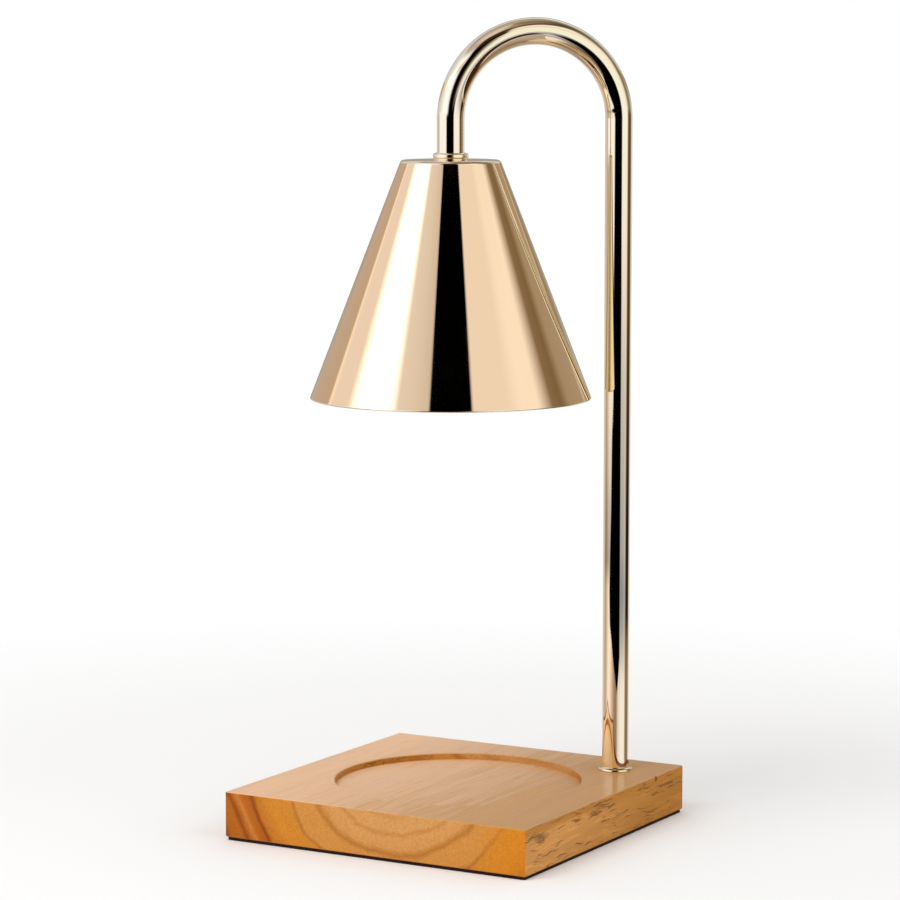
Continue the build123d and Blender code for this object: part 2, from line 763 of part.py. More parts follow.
with BuildPart() as bulb_capsule:
    capsule_radius = capsule_diameter / 2
    capsule_tip = pinch_bottom - capsule_length
    with BuildSketch(shade_section):
        with BuildLine():
            Polyline(
                (0, capsule_tip),
                (0, pinch_bottom),
                (capsule_radius, pinch_bottom),
                (capsule_radius, capsule_tip + capsule_radius),
            )
            ThreePointArc(
                (capsule_radius, capsule_tip + capsule_radius),
                (capsule_radius / sqrt(2), capsule_tip + capsule_radius * (1 - 1 / sqrt(2))),
                (0, capsule_tip),
            )
        make_face()
    revolve(axis=shade_axis)
    with BuildSketch(shade_section):
        hollow_radius = capsule_radius - capsule_wall
        with BuildLine():
            Polyline(
                (0, capsule_tip + capsule_wall),
                (0, pinch_bottom - capsule_wall),
                (hollow_radius, pinch_bottom - capsule_wall),
                (hollow_radius, capsule_tip + capsule_radius),
            )
            ThreePointArc(
                (hollow_radius, capsule_tip + capsule_radius),
                (hollow_radius / sqrt(2), capsule_tip + capsule_radius - hollow_radius / sqrt(2)),
                (0, capsule_tip + capsule_wall),
            )
        make_face()
    revolve(axis=shade_axis, mode=Mode.SUBTRACT)
    with BuildSketch(hang(pinch_bottom)):
        Rectangle(pinch_width, pinch_thickness)
    extrude(amount=pinch_length)
    with BuildSketch(hang(neck_top)):
        with GridLocations(filament_leg_spacing, 0, 2, 1):
            Circle(filament_wire_diameter / 2 + push_fit)
    extrude(amount=-(pinch_length + capsule_wall), mode=Mode.SUBTRACT)
bulb_capsule.part.label = "bulb_capsule"

with BuildPart() as bulb_filament:
    coil_height = pinch_bottom - filament_depth
    with BuildLine(shade_section) as wire_line:
        half_spacing = filament_leg_spacing / 2
        Polyline(
            (-half_spacing, neck_top),
            (-half_spacing, coil_height),
            (half_spacing, coil_height),
            (half_spacing, neck_top),
        )
    with BuildSketch(Plane(wire_line.line @ 0, z_dir=wire_line.line % 0)):
        Circle(filament_wire_diameter / 2)
    sweep(path=wire_line.line, transition=Transition.RIGHT)
    coil_start = shade_section.from_local_coords((-filament_coil_length / 2, coil_height, 0))
    with BuildSketch(Plane(coil_start, z_dir=hook_direction)):
        Circle(filament_coil_diameter / 2)
    extrude(amount=filament_coil_length)
bulb_filament.part.label = "bulb_filament"

# ---------------------------------------------------------------- wiring
with BuildPart() as inner_flex:
    with BuildLine(shade_section) as flex_line:
        flex_leg = Line((0, shade_nipple_end + stripped_end), (0, arch_spring_height))
        flex_bend = ThreePointArc(
            flex_leg @ 1,
            (bend_radius, arch_spring_height + bend_radius),
            (hook_spacing, arch_spring_height),
        )
        Line(flex_bend @ 1, (hook_spacing, foot_nipple_end + stripped_end))
    with BuildSketch(hang(shade_nipple_end + stripped_end)):
        Circle(flex_diameter / 2)
    sweep(path=flex_line.line)
inner_flex.part.label = "inner_flex"

across_hook = (-1 / sqrt(2), 1 / sqrt(2))
lead_room = shade_nipple_end + stripped_end - cover_top
with BuildPart() as holder_leads:
    for side in (-1, 1):
        start_out = side * lead_spacing / 2
        end_out = side * holder_lead_spacing / 2
        lead_points = [
            (
                shade_offset + out * across_hook[0],
                shade_offset + out * across_hook[1],
                height,
            )
            for out, height in (
                (start_out, shade_nipple_end + stripped_end),
                (start_out, cover_top + holder_lead_turns[0] * lead_room),
                (end_out, cover_top + holder_lead_turns[1] * lead_room),
                (end_out, holder_top),
            )
        ]
        with BuildLine() as lead_line:
            FilletPolyline(*lead_points, radius=holder_lead_bend_radius)
        with BuildSketch(Plane(lead_line.line @ 0, z_dir=lead_line.line % 0)):
            Circle(lead_diameter / 2)
        sweep(path=lead_line.line)
holder_leads.part.label = "holder_leads"

lead_end_x = pocket_center_x + terminal_screw_spacing / 2 - terminal_screw_diameter
with BuildPart() as base_leads:
    for side, (_, pole_y) in zip((-1, 1), pole_places):
        start_y = post_offset + side * lead_spacing / 2
        lead_points = [
            (post_offset, start_y, foot_nipple_end + stripped_end),
            (post_offset, start_y, wire_height),
            (block_right + lead_turn_gap, pole_y, terminal_height),
            (lead_end_x, pole_y, terminal_height),
        ]
        with BuildLine() as lead_line:
            FilletPolyline(*lead_points, radius=base_lead_bend_radius)
        with BuildSketch(Plane(lead_line.line @ 0, z_dir=lead_line.line % 0)):
            Circle(lead_diameter / 2)
        sweep(path=lead_line.line)
base_leads.part.label = "base_leads"

print("flex bend radius", bend_radius)
print("holder lead bend radius", holder_lead_bend_radius)
print("base lead bend radius", base_lead_bend_radius)

# ---------------------------------------------------------------- STEP files
os.makedirs("parts", exist_ok=True)
export_step(base_block.part, "parts/base_block.step")
export_step(base_pad.part, "parts/base_pad.step")
export_step(cord_bushing.part, "parts/cord_bushing.step")
export_step(gooseneck_tube.part, "parts/gooseneck_tube.step")
export_step(foot_collar.part, "parts/foot_collar.step")
export_step(foot_nipple.part, "parts/foot_nipple.step")
export_step(foot_washer.part, "parts/foot_washer.step")
export_step(foot_lock_washer.part, "parts/foot_lock_washer.step")
export_step(foot_nut.part, "parts/foot_nut.step")
export_step(terminal_block.part, "parts/terminal_block.step")
export_step(terminal_tubes.part, "parts/terminal_tubes.step")
export_step(terminal_screws.part, "parts/terminal_screws.step")
export_step(terminal_fixing_screw.part, "parts/terminal_fixing_screw.step")
export_step(shade.part, "parts/shade.step")
export_step(shade_collar.part, "parts/shade_collar.step")
export_step(shade_nipple.part, "parts/shade_nipple.step")
export_step(shade_lock_washer.part, "parts/shade_lock_washer.step")
export_step(shade_nut.part, "parts/shade_nut.step")
export_step(holder_bracket.part, "parts/holder_bracket.step")
export_step(holder_cover.part, "parts/holder_cover.step")
export_step(holder_body.part, "parts/holder_body.step")
export_step(holder_contacts.part, "parts/holder_contacts.step")
export_step(holder_screws.part, "parts/holder_screws.step")
export_step(bulb_pins.part, "parts/bulb_pins.step")
export_step(bulb_base.part, "parts/bulb_base.step")
export_step(bulb_reflector.part, "parts/bulb_reflector.step")
export_step(bulb_front_glass.part, "parts/bulb_front_glass.step")
export_step(bulb_capsule.part, "parts/bulb_capsule.step")
export_step(bulb_filament.part, "parts/bulb_filament.step")
export_step(inner_flex.part, "parts/inner_flex.step")
export_step(holder_leads.part, "parts/holder_leads.step")
export_step(base_leads.part, "parts/base_leads.step")
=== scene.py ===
# %% [markdown]
# # A candle warmer lamp, dressed in Blender
# The lamp stands on a square block of wood.  A plated steel tube rises from its back corner,
# bends over in a half circle and carries a spun metal cone with a halogen bulb inside.  The
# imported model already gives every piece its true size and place.  This lesson gives each
# piece its finish, and turns or sweeps again the few polished pieces whose reflections would
# show the flat facets of a stock mesh.

# %% Load the frame
import bmesh
import bpy
from math import atan2, cos, pi, radians, sin, tan
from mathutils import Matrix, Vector


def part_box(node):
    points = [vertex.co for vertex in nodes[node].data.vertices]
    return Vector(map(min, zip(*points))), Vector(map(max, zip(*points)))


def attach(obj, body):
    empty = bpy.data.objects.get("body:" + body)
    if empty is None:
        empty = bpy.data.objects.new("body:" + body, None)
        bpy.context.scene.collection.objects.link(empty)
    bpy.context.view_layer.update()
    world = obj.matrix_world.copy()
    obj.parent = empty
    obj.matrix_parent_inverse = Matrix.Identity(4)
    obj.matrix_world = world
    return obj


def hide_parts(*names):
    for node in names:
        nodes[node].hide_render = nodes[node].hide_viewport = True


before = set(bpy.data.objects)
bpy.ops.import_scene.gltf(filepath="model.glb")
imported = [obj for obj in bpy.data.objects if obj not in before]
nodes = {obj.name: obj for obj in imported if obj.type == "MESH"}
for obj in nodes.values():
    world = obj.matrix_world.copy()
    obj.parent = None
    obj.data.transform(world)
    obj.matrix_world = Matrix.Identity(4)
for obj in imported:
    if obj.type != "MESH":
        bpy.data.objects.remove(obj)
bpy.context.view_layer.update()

# %% [markdown]
# ## Sizes that come from the frame
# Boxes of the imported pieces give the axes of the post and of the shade, the height of the arch
# and the outer radii of the collars.  What has to be exact to look smooth, such as the radii of
# the tube and of the cone's rim, is written as a number.  One millimetre is a named unit, so
# that small sizes read as they would on a drawing.

# %% Places and radii
mm = 0.001


def middle(node):
    """The centre of a piece's box."""
    low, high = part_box(node)
    return (low + high) / 2


shade_low, shade_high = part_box("shade")
shade_axis = middle("shade")
post_axis = middle("foot_collar")
tube_low, tube_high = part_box("gooseneck_tube")
tube_radius = 6.0 * mm
rim_radius = 62.0 * mm
hook_span = Vector((post_axis.x - shade_axis.x, post_axis.y - shade_axis.y, 0))
hook_direction = hook_span.normalized()
bend_radius = hook_span.length / 2
arch_height = tube_high.z - tube_radius - bend_radius
print("bend", round(bend_radius, 5), "arch springs at", round(arch_height, 5))

# %% [markdown]
# ## Camera
# The view looks a little down on the lamp with a long lens from a metre and a half away, so
# that upright edges stay upright and the cone's rim is a thin ellipse.

# %% Make the camera
view_azimuth = radians(29.82)
view_elevation = radians(6.706)
view_distance = 1.5
view_lens = 136.08
aim_height = 168.88 * mm
aim_right = -3.642 * mm

scene = bpy.context.scene
scene.view_settings.view_transform = "Standard"


def placed(name, data):
    """A new object at the origin that shows a mesh, a camera or a lamp."""
    obj = bpy.data.objects.new(name, data)
    scene.collection.objects.link(obj)
    return obj


def outward(azimuth, elevation):
    """A direction away from the lamp; azimuth 0 is its front, and both angles are in radians."""
    return Vector((sin(azimuth) * cos(elevation), -cos(azimuth) * cos(elevation), sin(elevation)))


def aim_back(obj, target, direction, distance):
    """Moves a camera or a lamp out from its target and turns it back towards it."""
    obj.location = target + direction * distance
    obj.rotation_mode = "QUATERNION"
    obj.rotation_quaternion = (-direction).to_track_quat("-Z", "Y")


camera_data = bpy.data.cameras.new("camera")
camera_data.lens = view_lens
camera_data.sensor_width = 36.0
camera_data.clip_start = 0.05
camera_data.clip_end = 50.0
camera = placed("camera", camera_data)
view_right = Vector((cos(view_azimuth), sin(view_azimuth), 0))
aim = view_right * aim_right + Vector((0, 0, aim_height))
aim_back(camera, aim, outward(view_azimuth, view_elevation), view_distance)
scene.camera = camera
print("camera at", [round(v, 3) for v in camera.location])

# %% [markdown]
# ## Building shaders in a script
# Every material below is a small graph.  One helper links or sets a socket, and one adds a node
# with its settings and inputs.  The others stand for the nodes that come back most: sums, soft
# steps, mixes and ramps.

# %% Helpers for node graphs


def feed(tree, socket, value):
    """Links an output socket to an input, or sets the input to a plain value."""
    if isinstance(value, bpy.types.NodeSocket):
        tree.links.new(value, socket)
    elif isinstance(value, (tuple, list)) and len(value) == 3 and socket.type == "RGBA":
        socket.default_value = (*value, 1.0)
    else:
        socket.default_value = value


def add(tree, kind, inputs=None, **settings):
    """Adds a node, sets its properties, and feeds its inputs, given by name or by number."""
    node = tree.nodes.new(kind)
    for name, value in settings.items():
        setattr(node, name, value)
    for label, value in (inputs or {}).items():
        feed(tree, node.inputs[label], value)
    return node


def calc(tree, operation, first, second=0.0, third=0.0):
    """A Math node."""
    inputs = {0: first, 1: second, 2: third}
    return add(tree, "ShaderNodeMath", inputs, operation=operation).outputs[0]


def fade(tree, value, start, end, low=0.0, high=1.0):
    """A smooth step from low at start to high at end."""
    inputs = {"Value": value, "From Min": start, "From Max": end, "To Min": low, "To Max": high}
    return add(tree, "ShaderNodeMapRange", inputs, interpolation_type="SMOOTHSTEP").outputs["Result"]


def blend_colours(tree, factor, first, second, mode="MIX"):
    """A colour mix of two colours or sockets."""
    inputs = {"Factor": factor, 6: first, 7: second}
    return add(tree, "ShaderNodeMix", inputs, data_type="RGBA", blend_type=mode).outputs[2]


def between(tree, operation, first, second=(0, 0, 0)):
    """A Vector Math node; a length or distance comes out as a number, the rest as a vector."""
    node = add(tree, "ShaderNodeVectorMath", {0: first, 1: second}, operation=operation)
    return node.outputs["Value" if operation in ("LENGTH", "DISTANCE") else "Vector"]


def object_place(tree):
    """The place of the shaded point on its object, in metres."""
    return add(tree, "ShaderNodeTexCoord").outputs["Object"]


def apart(tree, vector):
    """The three numbers of a vector."""
    return add(tree, "ShaderNodeSeparateXYZ", {"Vector": vector}).outputs


def ramp(tree, factor, stops):
    """A colour ramp; each stop is a place from 0 to 1 and a colour or a grey value."""
    node = add(tree, "ShaderNodeValToRGB", {"Fac": factor})
    elements = node.color_ramp.elements
    while len(elements) < len(stops):
        elements.new(0.5)
    for element, (place, colour) in zip(elements, stops):
        element.position = place
        element.color = (*colour, 1.0) if isinstance(colour, tuple) else (colour, colour, colour, 1.0)
    return node.outputs["Color"]


# %% [markdown]
# ## The studio
# Polished metal has no colour pattern of its own: what it shows is the room.  In a studio,
# white cards and black flags hang round the set, and the cone and the tube turn them into
# upright bands.  Here the cards and flags are a painted world that only shiny
# surfaces see.  Its colour depends on the compass direction, counted from the camera, and on
# the height above the horizon.  The camera itself sees plain white, and everything matt is lit
# by an even white sky and two soft lamps.
#
# The cone leans, so each direction on its flank mirrors one height of the room, up to 38
# degrees.  The upright post mirrors what lies a few degrees below the horizon, and the arch
# turns through all the rest.  Each of these zones has bands of its own.

# %% Compass bands of the painted room
# Each stop is a direction in degrees, 0 at the camera and positive to its right, and a colour.
# What the cone mirrors
high_bands = [
    (-180, (1.0, 0.90, 0.89)),
    (-174, (1.2, 1.08, 1.07)),
    (-168, (0.56, 0.445, 0.40)),
    (-123, (0.57, 0.445, 0.38)),
    (-121, (1.1, 0.945, 0.84)),
    (-117, (0.90, 0.795, 0.80)),
    (-98, (0.90, 0.795, 0.80)),
    (-85, (2.2, 2.06, 2.2)),
    (-58, (2.2, 2.06, 2.2)),
    (-48, (0.84, 0.775, 0.78)),
    (-32, (0.78, 0.705, 0.69)),
    (-20, (0.70, 0.615, 0.585)),
    (-18.5, (0.0, 0.0, 0.0)),
    (18.5, (0.0, 0.0, 0.0)),
    (20.5, (0.93, 0.825, 0.80)),
    (52, (0.93, 0.825, 0.80)),
    (66, (1.06, 0.965, 0.94)),
    (82, (1.05, 0.955, 0.93)),
    (97, (0.265, 0.178, 0.108)),
    (108, (0.218, 0.149, 0.082)),
    (118, (0.41, 0.315, 0.23)),
    (141, (0.43, 0.335, 0.26)),
    (144, (0.74, 0.625, 0.48)),
    (147, (0.34, 0.26, 0.185)),
    (168, (0.28, 0.215, 0.14)),
    (174, (0.72, 0.64, 0.62)),
    (180, (1.0, 0.90, 0.89)),
]
# What the post mirrors, just below the horizon
low_bands = [
    (-180, (1.0, 0.92, 0.95)),
    (-164, (0.72, 0.65, 0.68)),
    (-147, (0.80, 0.75, 0.76)),
    (-128, (0.66, 0.59, 0.57)),
    (-106, (0.50, 0.43, 0.40)),
    (-89, (0.76, 0.70, 0.70)),
    (-74, (1.0, 0.99, 1.08)),
    (-36, (1.02, 1.10, 1.28)),
    (20, (1.0, 1.10, 1.28)),
    (62, (1.0, 1.08, 1.23)),
    (74, (1.08, 1.13, 1.22)),
    (134, (0.88, 0.83, 0.86)),
    (164, (0.95, 0.88, 0.90)),
    (180, (1.0, 0.92, 0.95)),
]
# What the arch mirrors: above the horizon it sees more of the room than the cone does
arch_bands = [
    (-180, (0.84, 0.94, 1.20)),
    (-135, (0.62, 0.69, 0.88)),
    (-105, (0.80, 0.86, 1.05)),
    (-85, (0.96, 1.05, 1.30)),
    (-68, (1.10, 1.28, 1.60)),
    (-34, (1.05, 1.22, 1.55)),
    (-20, (0.03, 0.03, 0.03)),
    (-15, (0.0, 0.0, 0.0)),
    (1, (0.0, 0.0, 0.0)),
    (8, (0.05, 0.035, 0.03)),
    (15, (0.26, 0.23, 0.24)),
    (24, (0.98, 1.06, 1.10)),
    (60, (1.02, 1.13, 1.20)),
    (75, (0.95, 1.03, 1.08)),
    (86, (0.55, 0.58, 0.58)),
    (96, (0.24, 0.23, 0.20)),
    (110, (0.22, 0.22, 0.19)),
    (135, (0.58, 0.64, 0.72)),
    (160, (0.82, 0.93, 1.12)),
    (180, (0.84, 0.94, 1.20)),
]
# The dim back of the studio, which leans over the lamp
back_bands = [
    (-180, (0.46, 0.42, 0.40)),
    (-120, (0.52, 0.48, 0.47)),
    (-85, (0.60, 0.56, 0.58)),
    (-60, (0.78, 0.72, 0.80)),
    (-15, (0.74, 0.68, 0.68)),
    (12, (0.45, 0.38, 0.30)),
    (38, (0.27, 0.22, 0.19)),
    (90, (0.26, 0.21, 0.16)),
    (130, (0.34, 0.29, 0.26)),
    (180, (0.46, 0.42, 0.40)),
]
# The table, far below the horizon
table_bands = [
    (-180, (0.48, 0.45, 0.45)),
    (-135, (0.35, 0.35, 0.38)),
    (-105, (0.48, 0.41, 0.38)),
    (-85, (0.42, 0.34, 0.32)),
    (-66, (0.20, 0.13, 0.10)),
    (-45, (0.32, 0.27, 0.26)),
    (-20, (0.17, 0.14, 0.14)),
    (5, (0.13, 0.10, 0.09)),
    (22, (0.44, 0.40, 0.42)),
    (50, (0.50, 0.45, 0.42)),
    (90, (0.28, 0.22, 0.18)),
    (110, (0.22, 0.19, 0.16)),
    (135, (0.42, 0.39, 0.35)),
    (180, (0.48, 0.45, 0.45)),
]
# The height above the horizon that the cone's flank mirrors in each direction
cone_sees = [
    (-160, 3.3), (-140, 10.5), (-120, 17.5), (-100, 23.4), (-80, 28.6), (-60, 32.8), (-40, 35.8),
    (0, 38.2), (40, 35.8), (60, 32.8), (80, 28.6), (100, 23.4), (120, 17.5), (140, 10.5), (160, 3.3),
]
print("bands of", len(high_bands), len(arch_bands), len(low_bands), "stops for cone, arch and post")

# %% Direction and height in the world
sky_strength = 0.78
world = bpy.data.worlds.new("studio")
scene.world = world
world.use_nodes = True
room = world.node_tree
room.nodes.clear()


def compass_share(angle):
    """The compass value, 0 to 1, of a direction in degrees."""
    return 0.5 + angle / 360


def compass_of(tree, direction):
    """Where a direction lies on the compass, from 0 to 1, with the camera at 0.5."""
    turn = add(
        tree, "ShaderNodeVectorRotate", {"Vector": direction, "Angle": pi / 2 - view_azimuth},
        rotation_type="Z_AXIS",
    )
    turned = {"Vector": turn.outputs["Vector"]}
    return add(tree, "ShaderNodeTexGradient", turned, gradient_type="RADIAL").outputs["Fac"]


direction = add(room, "ShaderNodeTexCoord").outputs["Generated"]
compass = compass_of(room, direction)
height = apart(room, direction)["Z"]


def height_of(angle):
    """The upward part of a direction so many degrees above the horizon."""
    return sin(radians(angle))


def height_fade(start, end):
    """A mask that grows from one height to another, in degrees."""
    return fade(room, height, height_of(start), height_of(end))


def compass_ramp(bands):
    """A ramp over the compass from stops in degrees."""
    return ramp(room, compass, [(compass_share(angle), colour) for angle, colour in bands])


def height_ramp(stops):
    """A ramp over the height from stops in degrees above the horizon, in rising order."""
    low, high = height_of(stops[0][0]), height_of(stops[-1][0])
    inputs = {"Value": height, "From Min": low, "From Max": high}
    share = add(room, "ShaderNodeMapRange", inputs, interpolation_type="LINEAR")
    places = [((height_of(angle) - low) / (high - low), value) for angle, value in stops]
    return ramp(room, share.outputs["Result"], places)


def darkened(colour, where, how_much):
    """The colour times a height ramp, in one part of the compass."""
    return blend_colours(room, where, colour, blend_colours(room, 1.0, colour, how_much, "MULTIPLY"))


def patch(compass_stops, height_stops):
    """A mask over part of the compass and part of the height."""
    return calc(room, "MULTIPLY", compass_ramp(compass_stops), height_ramp(height_stops))


# %% The room above the horizon
# how far off its line the cone still mirrors its own bands, and where they have ended
cone_reach = 0.045
cone_end = 0.085
cone_line = ramp(room, compass, [(compass_share(angle), height_of(up)) for angle, up in cone_sees])
off_line = calc(room, "ABSOLUTE", calc(room, "SUBTRACT", height, cone_line))
off_the_cone = fade(room, off_line, cone_reach, cone_end)
upper = blend_colours(room, off_the_cone, compass_ramp(high_bands), compass_ramp(arch_bands))
print("the cone mirrors up to", max(up for _, up in cone_sees), "degrees")

# %% The room below the horizon
# it darkens on both sides of the flag, and a brown curtain hangs on the right
left_side = compass_ramp([(-130, 0.0), (-110, 1.0), (-30, 1.0), (-10, 0.0)])
left_low = height_ramp([
    (-11, 1.0), (-9.0, 0.95), (-8.6, 0.50), (-7.7, 0.60), (-7.1, 0.76), (-6.4, 0.88), (-5.5, 1.0),
])
right_side = compass_ramp([(0, 0.0), (10, 1.0), (55, 1.0), (74, 0.75), (90, 0.3), (100, 0.0)])
right_low = height_ramp([
    (-11, 0.97), (-10.6, 0.92), (-10.2, 0.64), (-9.7, (0.40, 0.41, 0.44)), (-9.1, (0.28, 0.31, 0.38)),
    (-8.4, (0.42, 0.43, 0.46)), (-7.7, (0.47, 0.475, 0.50)), (-6.4, (0.58, 0.545, 0.56)),
    (-5.7, (0.63, 0.60, 0.61)), (-5.1, (0.70, 0.69, 0.70)), (-4, (0.86, 0.83, 0.84)),
    (-3, (0.97, 0.94, 0.93)), (-1, (1.03, 1.04, 1.04)),
])
curtain = compass_ramp([(71, 0.0), (87, 1.0), (116, 1.0), (136, 0.0)])
curtain_colour = height_ramp([
    (-10.5, (0.26, 0.20, 0.15)), (-9.9, (0.16, 0.12, 0.10)), (-9.5, (0.02, 0.015, 0.015)),
    (-8.0, (0.012, 0.008, 0.006)), (-6.0, (0.045, 0.028, 0.02)), (-3.0, (0.10, 0.07, 0.045)),
    (0.0, (0.12, 0.085, 0.055)),
])
lower = darkened(compass_ramp(low_bands), left_side, left_low)
lower = darkened(lower, right_side, right_low)
lower = blend_colours(room, curtain, lower, curtain_colour)
print("room below the horizon,", len(room.nodes), "nodes so far")

# %% The black flag
# Rows of elevation, left edge and right edge, in degrees
flag_outline = [
    (-35, -46.0, 20.0),
    (-30, -50.0, 25.0),
    (-25, -56.0, 30.0),
    (-18, -50.0, 31.0),
    (-12, -42.0, 30.0),
    (-10.3, -40.0, 29.0),
    (-9.9, -56.0, 28.0),
    (-9.1, -65.0, 27.5),
    (-8.4, -60.0, 28.0),
    (-7.7, -53.0, 28.0),
    (-6.4, -48.0, 27.5),
    (-5.9, -38.0, 28.0),
    (-4.0, -41.0, 28.0),
    (-3.0, -38.0, 26.0),
    (-1.0, -36.0, 26.0),
]
# softness of the upright edges, as a share of the compass, and the heights where it ends
flag_edge = 0.012
flag_end = (-37, -33)
flag_left = height_ramp([(up, compass_share(left)) for up, left, _ in flag_outline])
flag_right = height_ramp([(up, compass_share(right)) for up, _, right in flag_outline])
inside_left = fade(room, calc(room, "SUBTRACT", compass, flag_left), -flag_edge, flag_edge)
inside_right = fade(room, calc(room, "SUBTRACT", flag_right, compass), -flag_edge, flag_edge)
flag = calc(room, "MULTIPLY", calc(room, "MULTIPLY", inside_left, inside_right), height_fade(*flag_end))
print("flag of", len(flag_outline), "rows")

# %% Ground and horizon
dark_brown = (0.045, 0.022, 0.01)
table_start = (-29, -34)
horizon = (0.3, 4)
black = (0.0, 0.0, 0.0)
low_right = patch(
    [(30, 0.0), (34, 1.0), (92, 1.0), (106, 0.0)],
    [(-31, 0.0), (-27, 1.0), (-12.5, 1.0), (-12.0, 0.0)],
)
lower = blend_colours(room, low_right, lower, dark_brown)
lower = blend_colours(room, height_fade(*table_start), lower, compass_ramp(table_bands))
lower = blend_colours(room, flag, lower, black)
bands = blend_colours(room, height_fade(*horizon), lower, upper)
back_start = (45, 57)
bands = blend_colours(room, height_fade(*back_start), bands, compass_ramp(back_bands))
print("horizon between", *horizon, "degrees")

# %% Patches on the walls
# Each covers the ones before it: directions and heights where it shows, and its colour.
wall_patches = {
    "corner at the back": (
        [(62, 0.0), (84, 0.7), (97, 0.9), (112, 0.6), (140, 0.0)],
        [(30, 0.0), (46, 0.9), (62, 0.9), (74, 0.2)],
        (0.10, 0.085, 0.055),
    ),
    "dark rail along the back": (
        [(-64, 0.25), (-30, 0.45), (-18, 0.9), (100, 1.0), (125, 0.0)],
        [(46, 0.0), (53, 1.0), (59, 1.0), (65, 0.0)],
        (0.11, 0.085, 0.05),
    ),
    "brown end of the flag": (
        [(-26, 0.0), (-18, 1.0), (14, 1.0), (20, 0.0)],
        [(40, 0.0), (44, 1.0), (56, 1.0), (60, 0.0)],
        (0.05, 0.026, 0.014),
    ),
    "grey wall straight behind the lamp": (
        [(-180, 1.0), (-166, 1.0), (-150, 0.0), (150, 0.0), (166, 1.0), (180, 1.0)],
        [(-5, 0.0), (-3.5, 1.0), (24, 1.0), (40, 0.0)],
        (0.40, 0.36, 0.30),
    ),
    "white card, level with the short leg": (
        [(-118, 0.0), (-100, 1.0), (-48, 1.0), (-40, 0.0)],
        [(-2.1, 0.0), (-1.8, 1.0), (3.0, 1.0), (5.0, 0.0)],
        (1.04, 1.15, 1.40),
    ),
}
for compass_stops, height_stops, colour in wall_patches.values():
    bands = blend_colours(room, patch(compass_stops, height_stops), bands, colour)
print("patches:", "; ".join(wall_patches))

# %% What each kind of ray sees
white = (1.0, 1.0, 1.0)
rays = add(room, "ShaderNodeLightPath").outputs
seen_colour = blend_colours(room, rays["Is Glossy Ray"], white, bands)
seen_strength = sky_strength
for ray in ("Is Camera Ray", "Is Glossy Ray", "Is Transmission Ray"):
    seen_strength = calc(room, "MAXIMUM", seen_strength, rays[ray])
background = add(room, "ShaderNodeBackground", {"Color": seen_colour, "Strength": seen_strength})
add(room, "ShaderNodeOutputWorld", {"Surface": background.outputs[0]})
print("world of", len(room.nodes), "nodes")

# %% [markdown]
# ### Floor and lamps
# The floor is a pale sheet.  Near the lamp it is an ordinary matt surface, so that it takes
# the shadow, but the polished post mirrors it in a painted brown.  Further out it fades into
# the white of the background, and shiny surfaces look past it into the painted room.  Towards
# the camera a darker strip of it reaches further; it is a painted reflection that only shiny
# surfaces see, and the foot of the post mirrors it as a table.

# %% Sizes and colours of the floor
floor_size = 6.0
floor_colour = (0.90, 0.895, 0.885)
table_edge = 0.12
edge_softness = 15 * mm
# the floor's colour as shiny surfaces see it near the post: a painted reflection
painted_floor_reflection = (0.80, 0.68, 0.50)
# the painted reflection strip's rows, seen only in shiny surfaces: direction round the post in degrees,
# reach in metres and colour there
painted_reflection_strip = [
    (-80, table_edge, (0.95, 0.90, 0.95)),
    (-66, 0.53, (0.95, 0.90, 0.95)),
    (-54, 0.51, (0.90, 0.80, 0.84)),
    (-42, 0.47, (0.72, 0.60, 0.60)),
    (-33, 0.43, (0.56, 0.45, 0.42)),
    (-23, 0.39, (0.42, 0.33, 0.28)),
    (-11, 0.355, (0.29, 0.22, 0.17)),
    (0, 0.32, (0.29, 0.225, 0.18)),
    (9, 0.31, (0.50, 0.46, 0.46)),
    (20, 0.36, (0.86, 0.86, 0.98)),
    (28, 0.42, (0.86, 0.86, 0.98)),
    (31, table_edge, (0.86, 0.86, 0.98)),
]
fade_start = 0.20
fade_end = 0.60
half = floor_size / 2
corners = [(-half, -half, 0), (half, -half, 0), (half, half, 0), (-half, half, 0)]
floor_mesh = bpy.data.meshes.new("floor")
floor_mesh.from_pydata(corners, [], [(0, 1, 2, 3)])
floor = placed("floor", floor_mesh)
print("floor", floor_size, "m across")

# %% The floor's material
floor_material = bpy.data.materials.new("floor")
floor_material.use_nodes = True
sheet = floor_material.node_tree
sheet.nodes.clear()
here = object_place(sheet)
post_foot = (post_axis.x, post_axis.y, 0)
from_post = between(sheet, "DISTANCE", here, post_foot)
sheet_compass = compass_of(sheet, between(sheet, "SUBTRACT", here, post_foot))
painted_strip_reach = ramp(sheet, sheet_compass, [(compass_share(row[0]), row[1]) for row in painted_reflection_strip])
painted_strip_colour = ramp(sheet, sheet_compass, [(compass_share(row[0]), row[2]) for row in painted_reflection_strip])
sheet_rays = add(sheet, "ShaderNodeLightPath").outputs
on_painted_strip = fade(sheet, from_post, table_edge, table_edge + edge_softness)
# in glossy rays the floor shows painted reflection colours instead of its own
painted_reflection = blend_colours(sheet, on_painted_strip, painted_floor_reflection, painted_strip_colour)
floor_and_painted_reflection = blend_colours(sheet, sheet_rays["Is Glossy Ray"], floor_colour, painted_reflection)
matt = add(sheet, "ShaderNodeBsdfDiffuse", {"Color": floor_and_painted_reflection}).outputs[0]
glow = add(sheet, "ShaderNodeEmission").outputs[0]
clear = add(sheet, "ShaderNodeBsdfTransparent").outputs[0]
far_out = fade(sheet, between(sheet, "LENGTH", here), fade_start, fade_end)
whitened = calc(sheet, "MULTIPLY", far_out, sheet_rays["Is Camera Ray"])
surface = add(sheet, "ShaderNodeMixShader", {"Fac": whitened, 1: matt, 2: glow}).outputs[0]
past_painted_strip = calc(sheet, "SUBTRACT", from_post, painted_strip_reach)
past_edge = fade(sheet, past_painted_strip, -edge_softness, edge_softness)
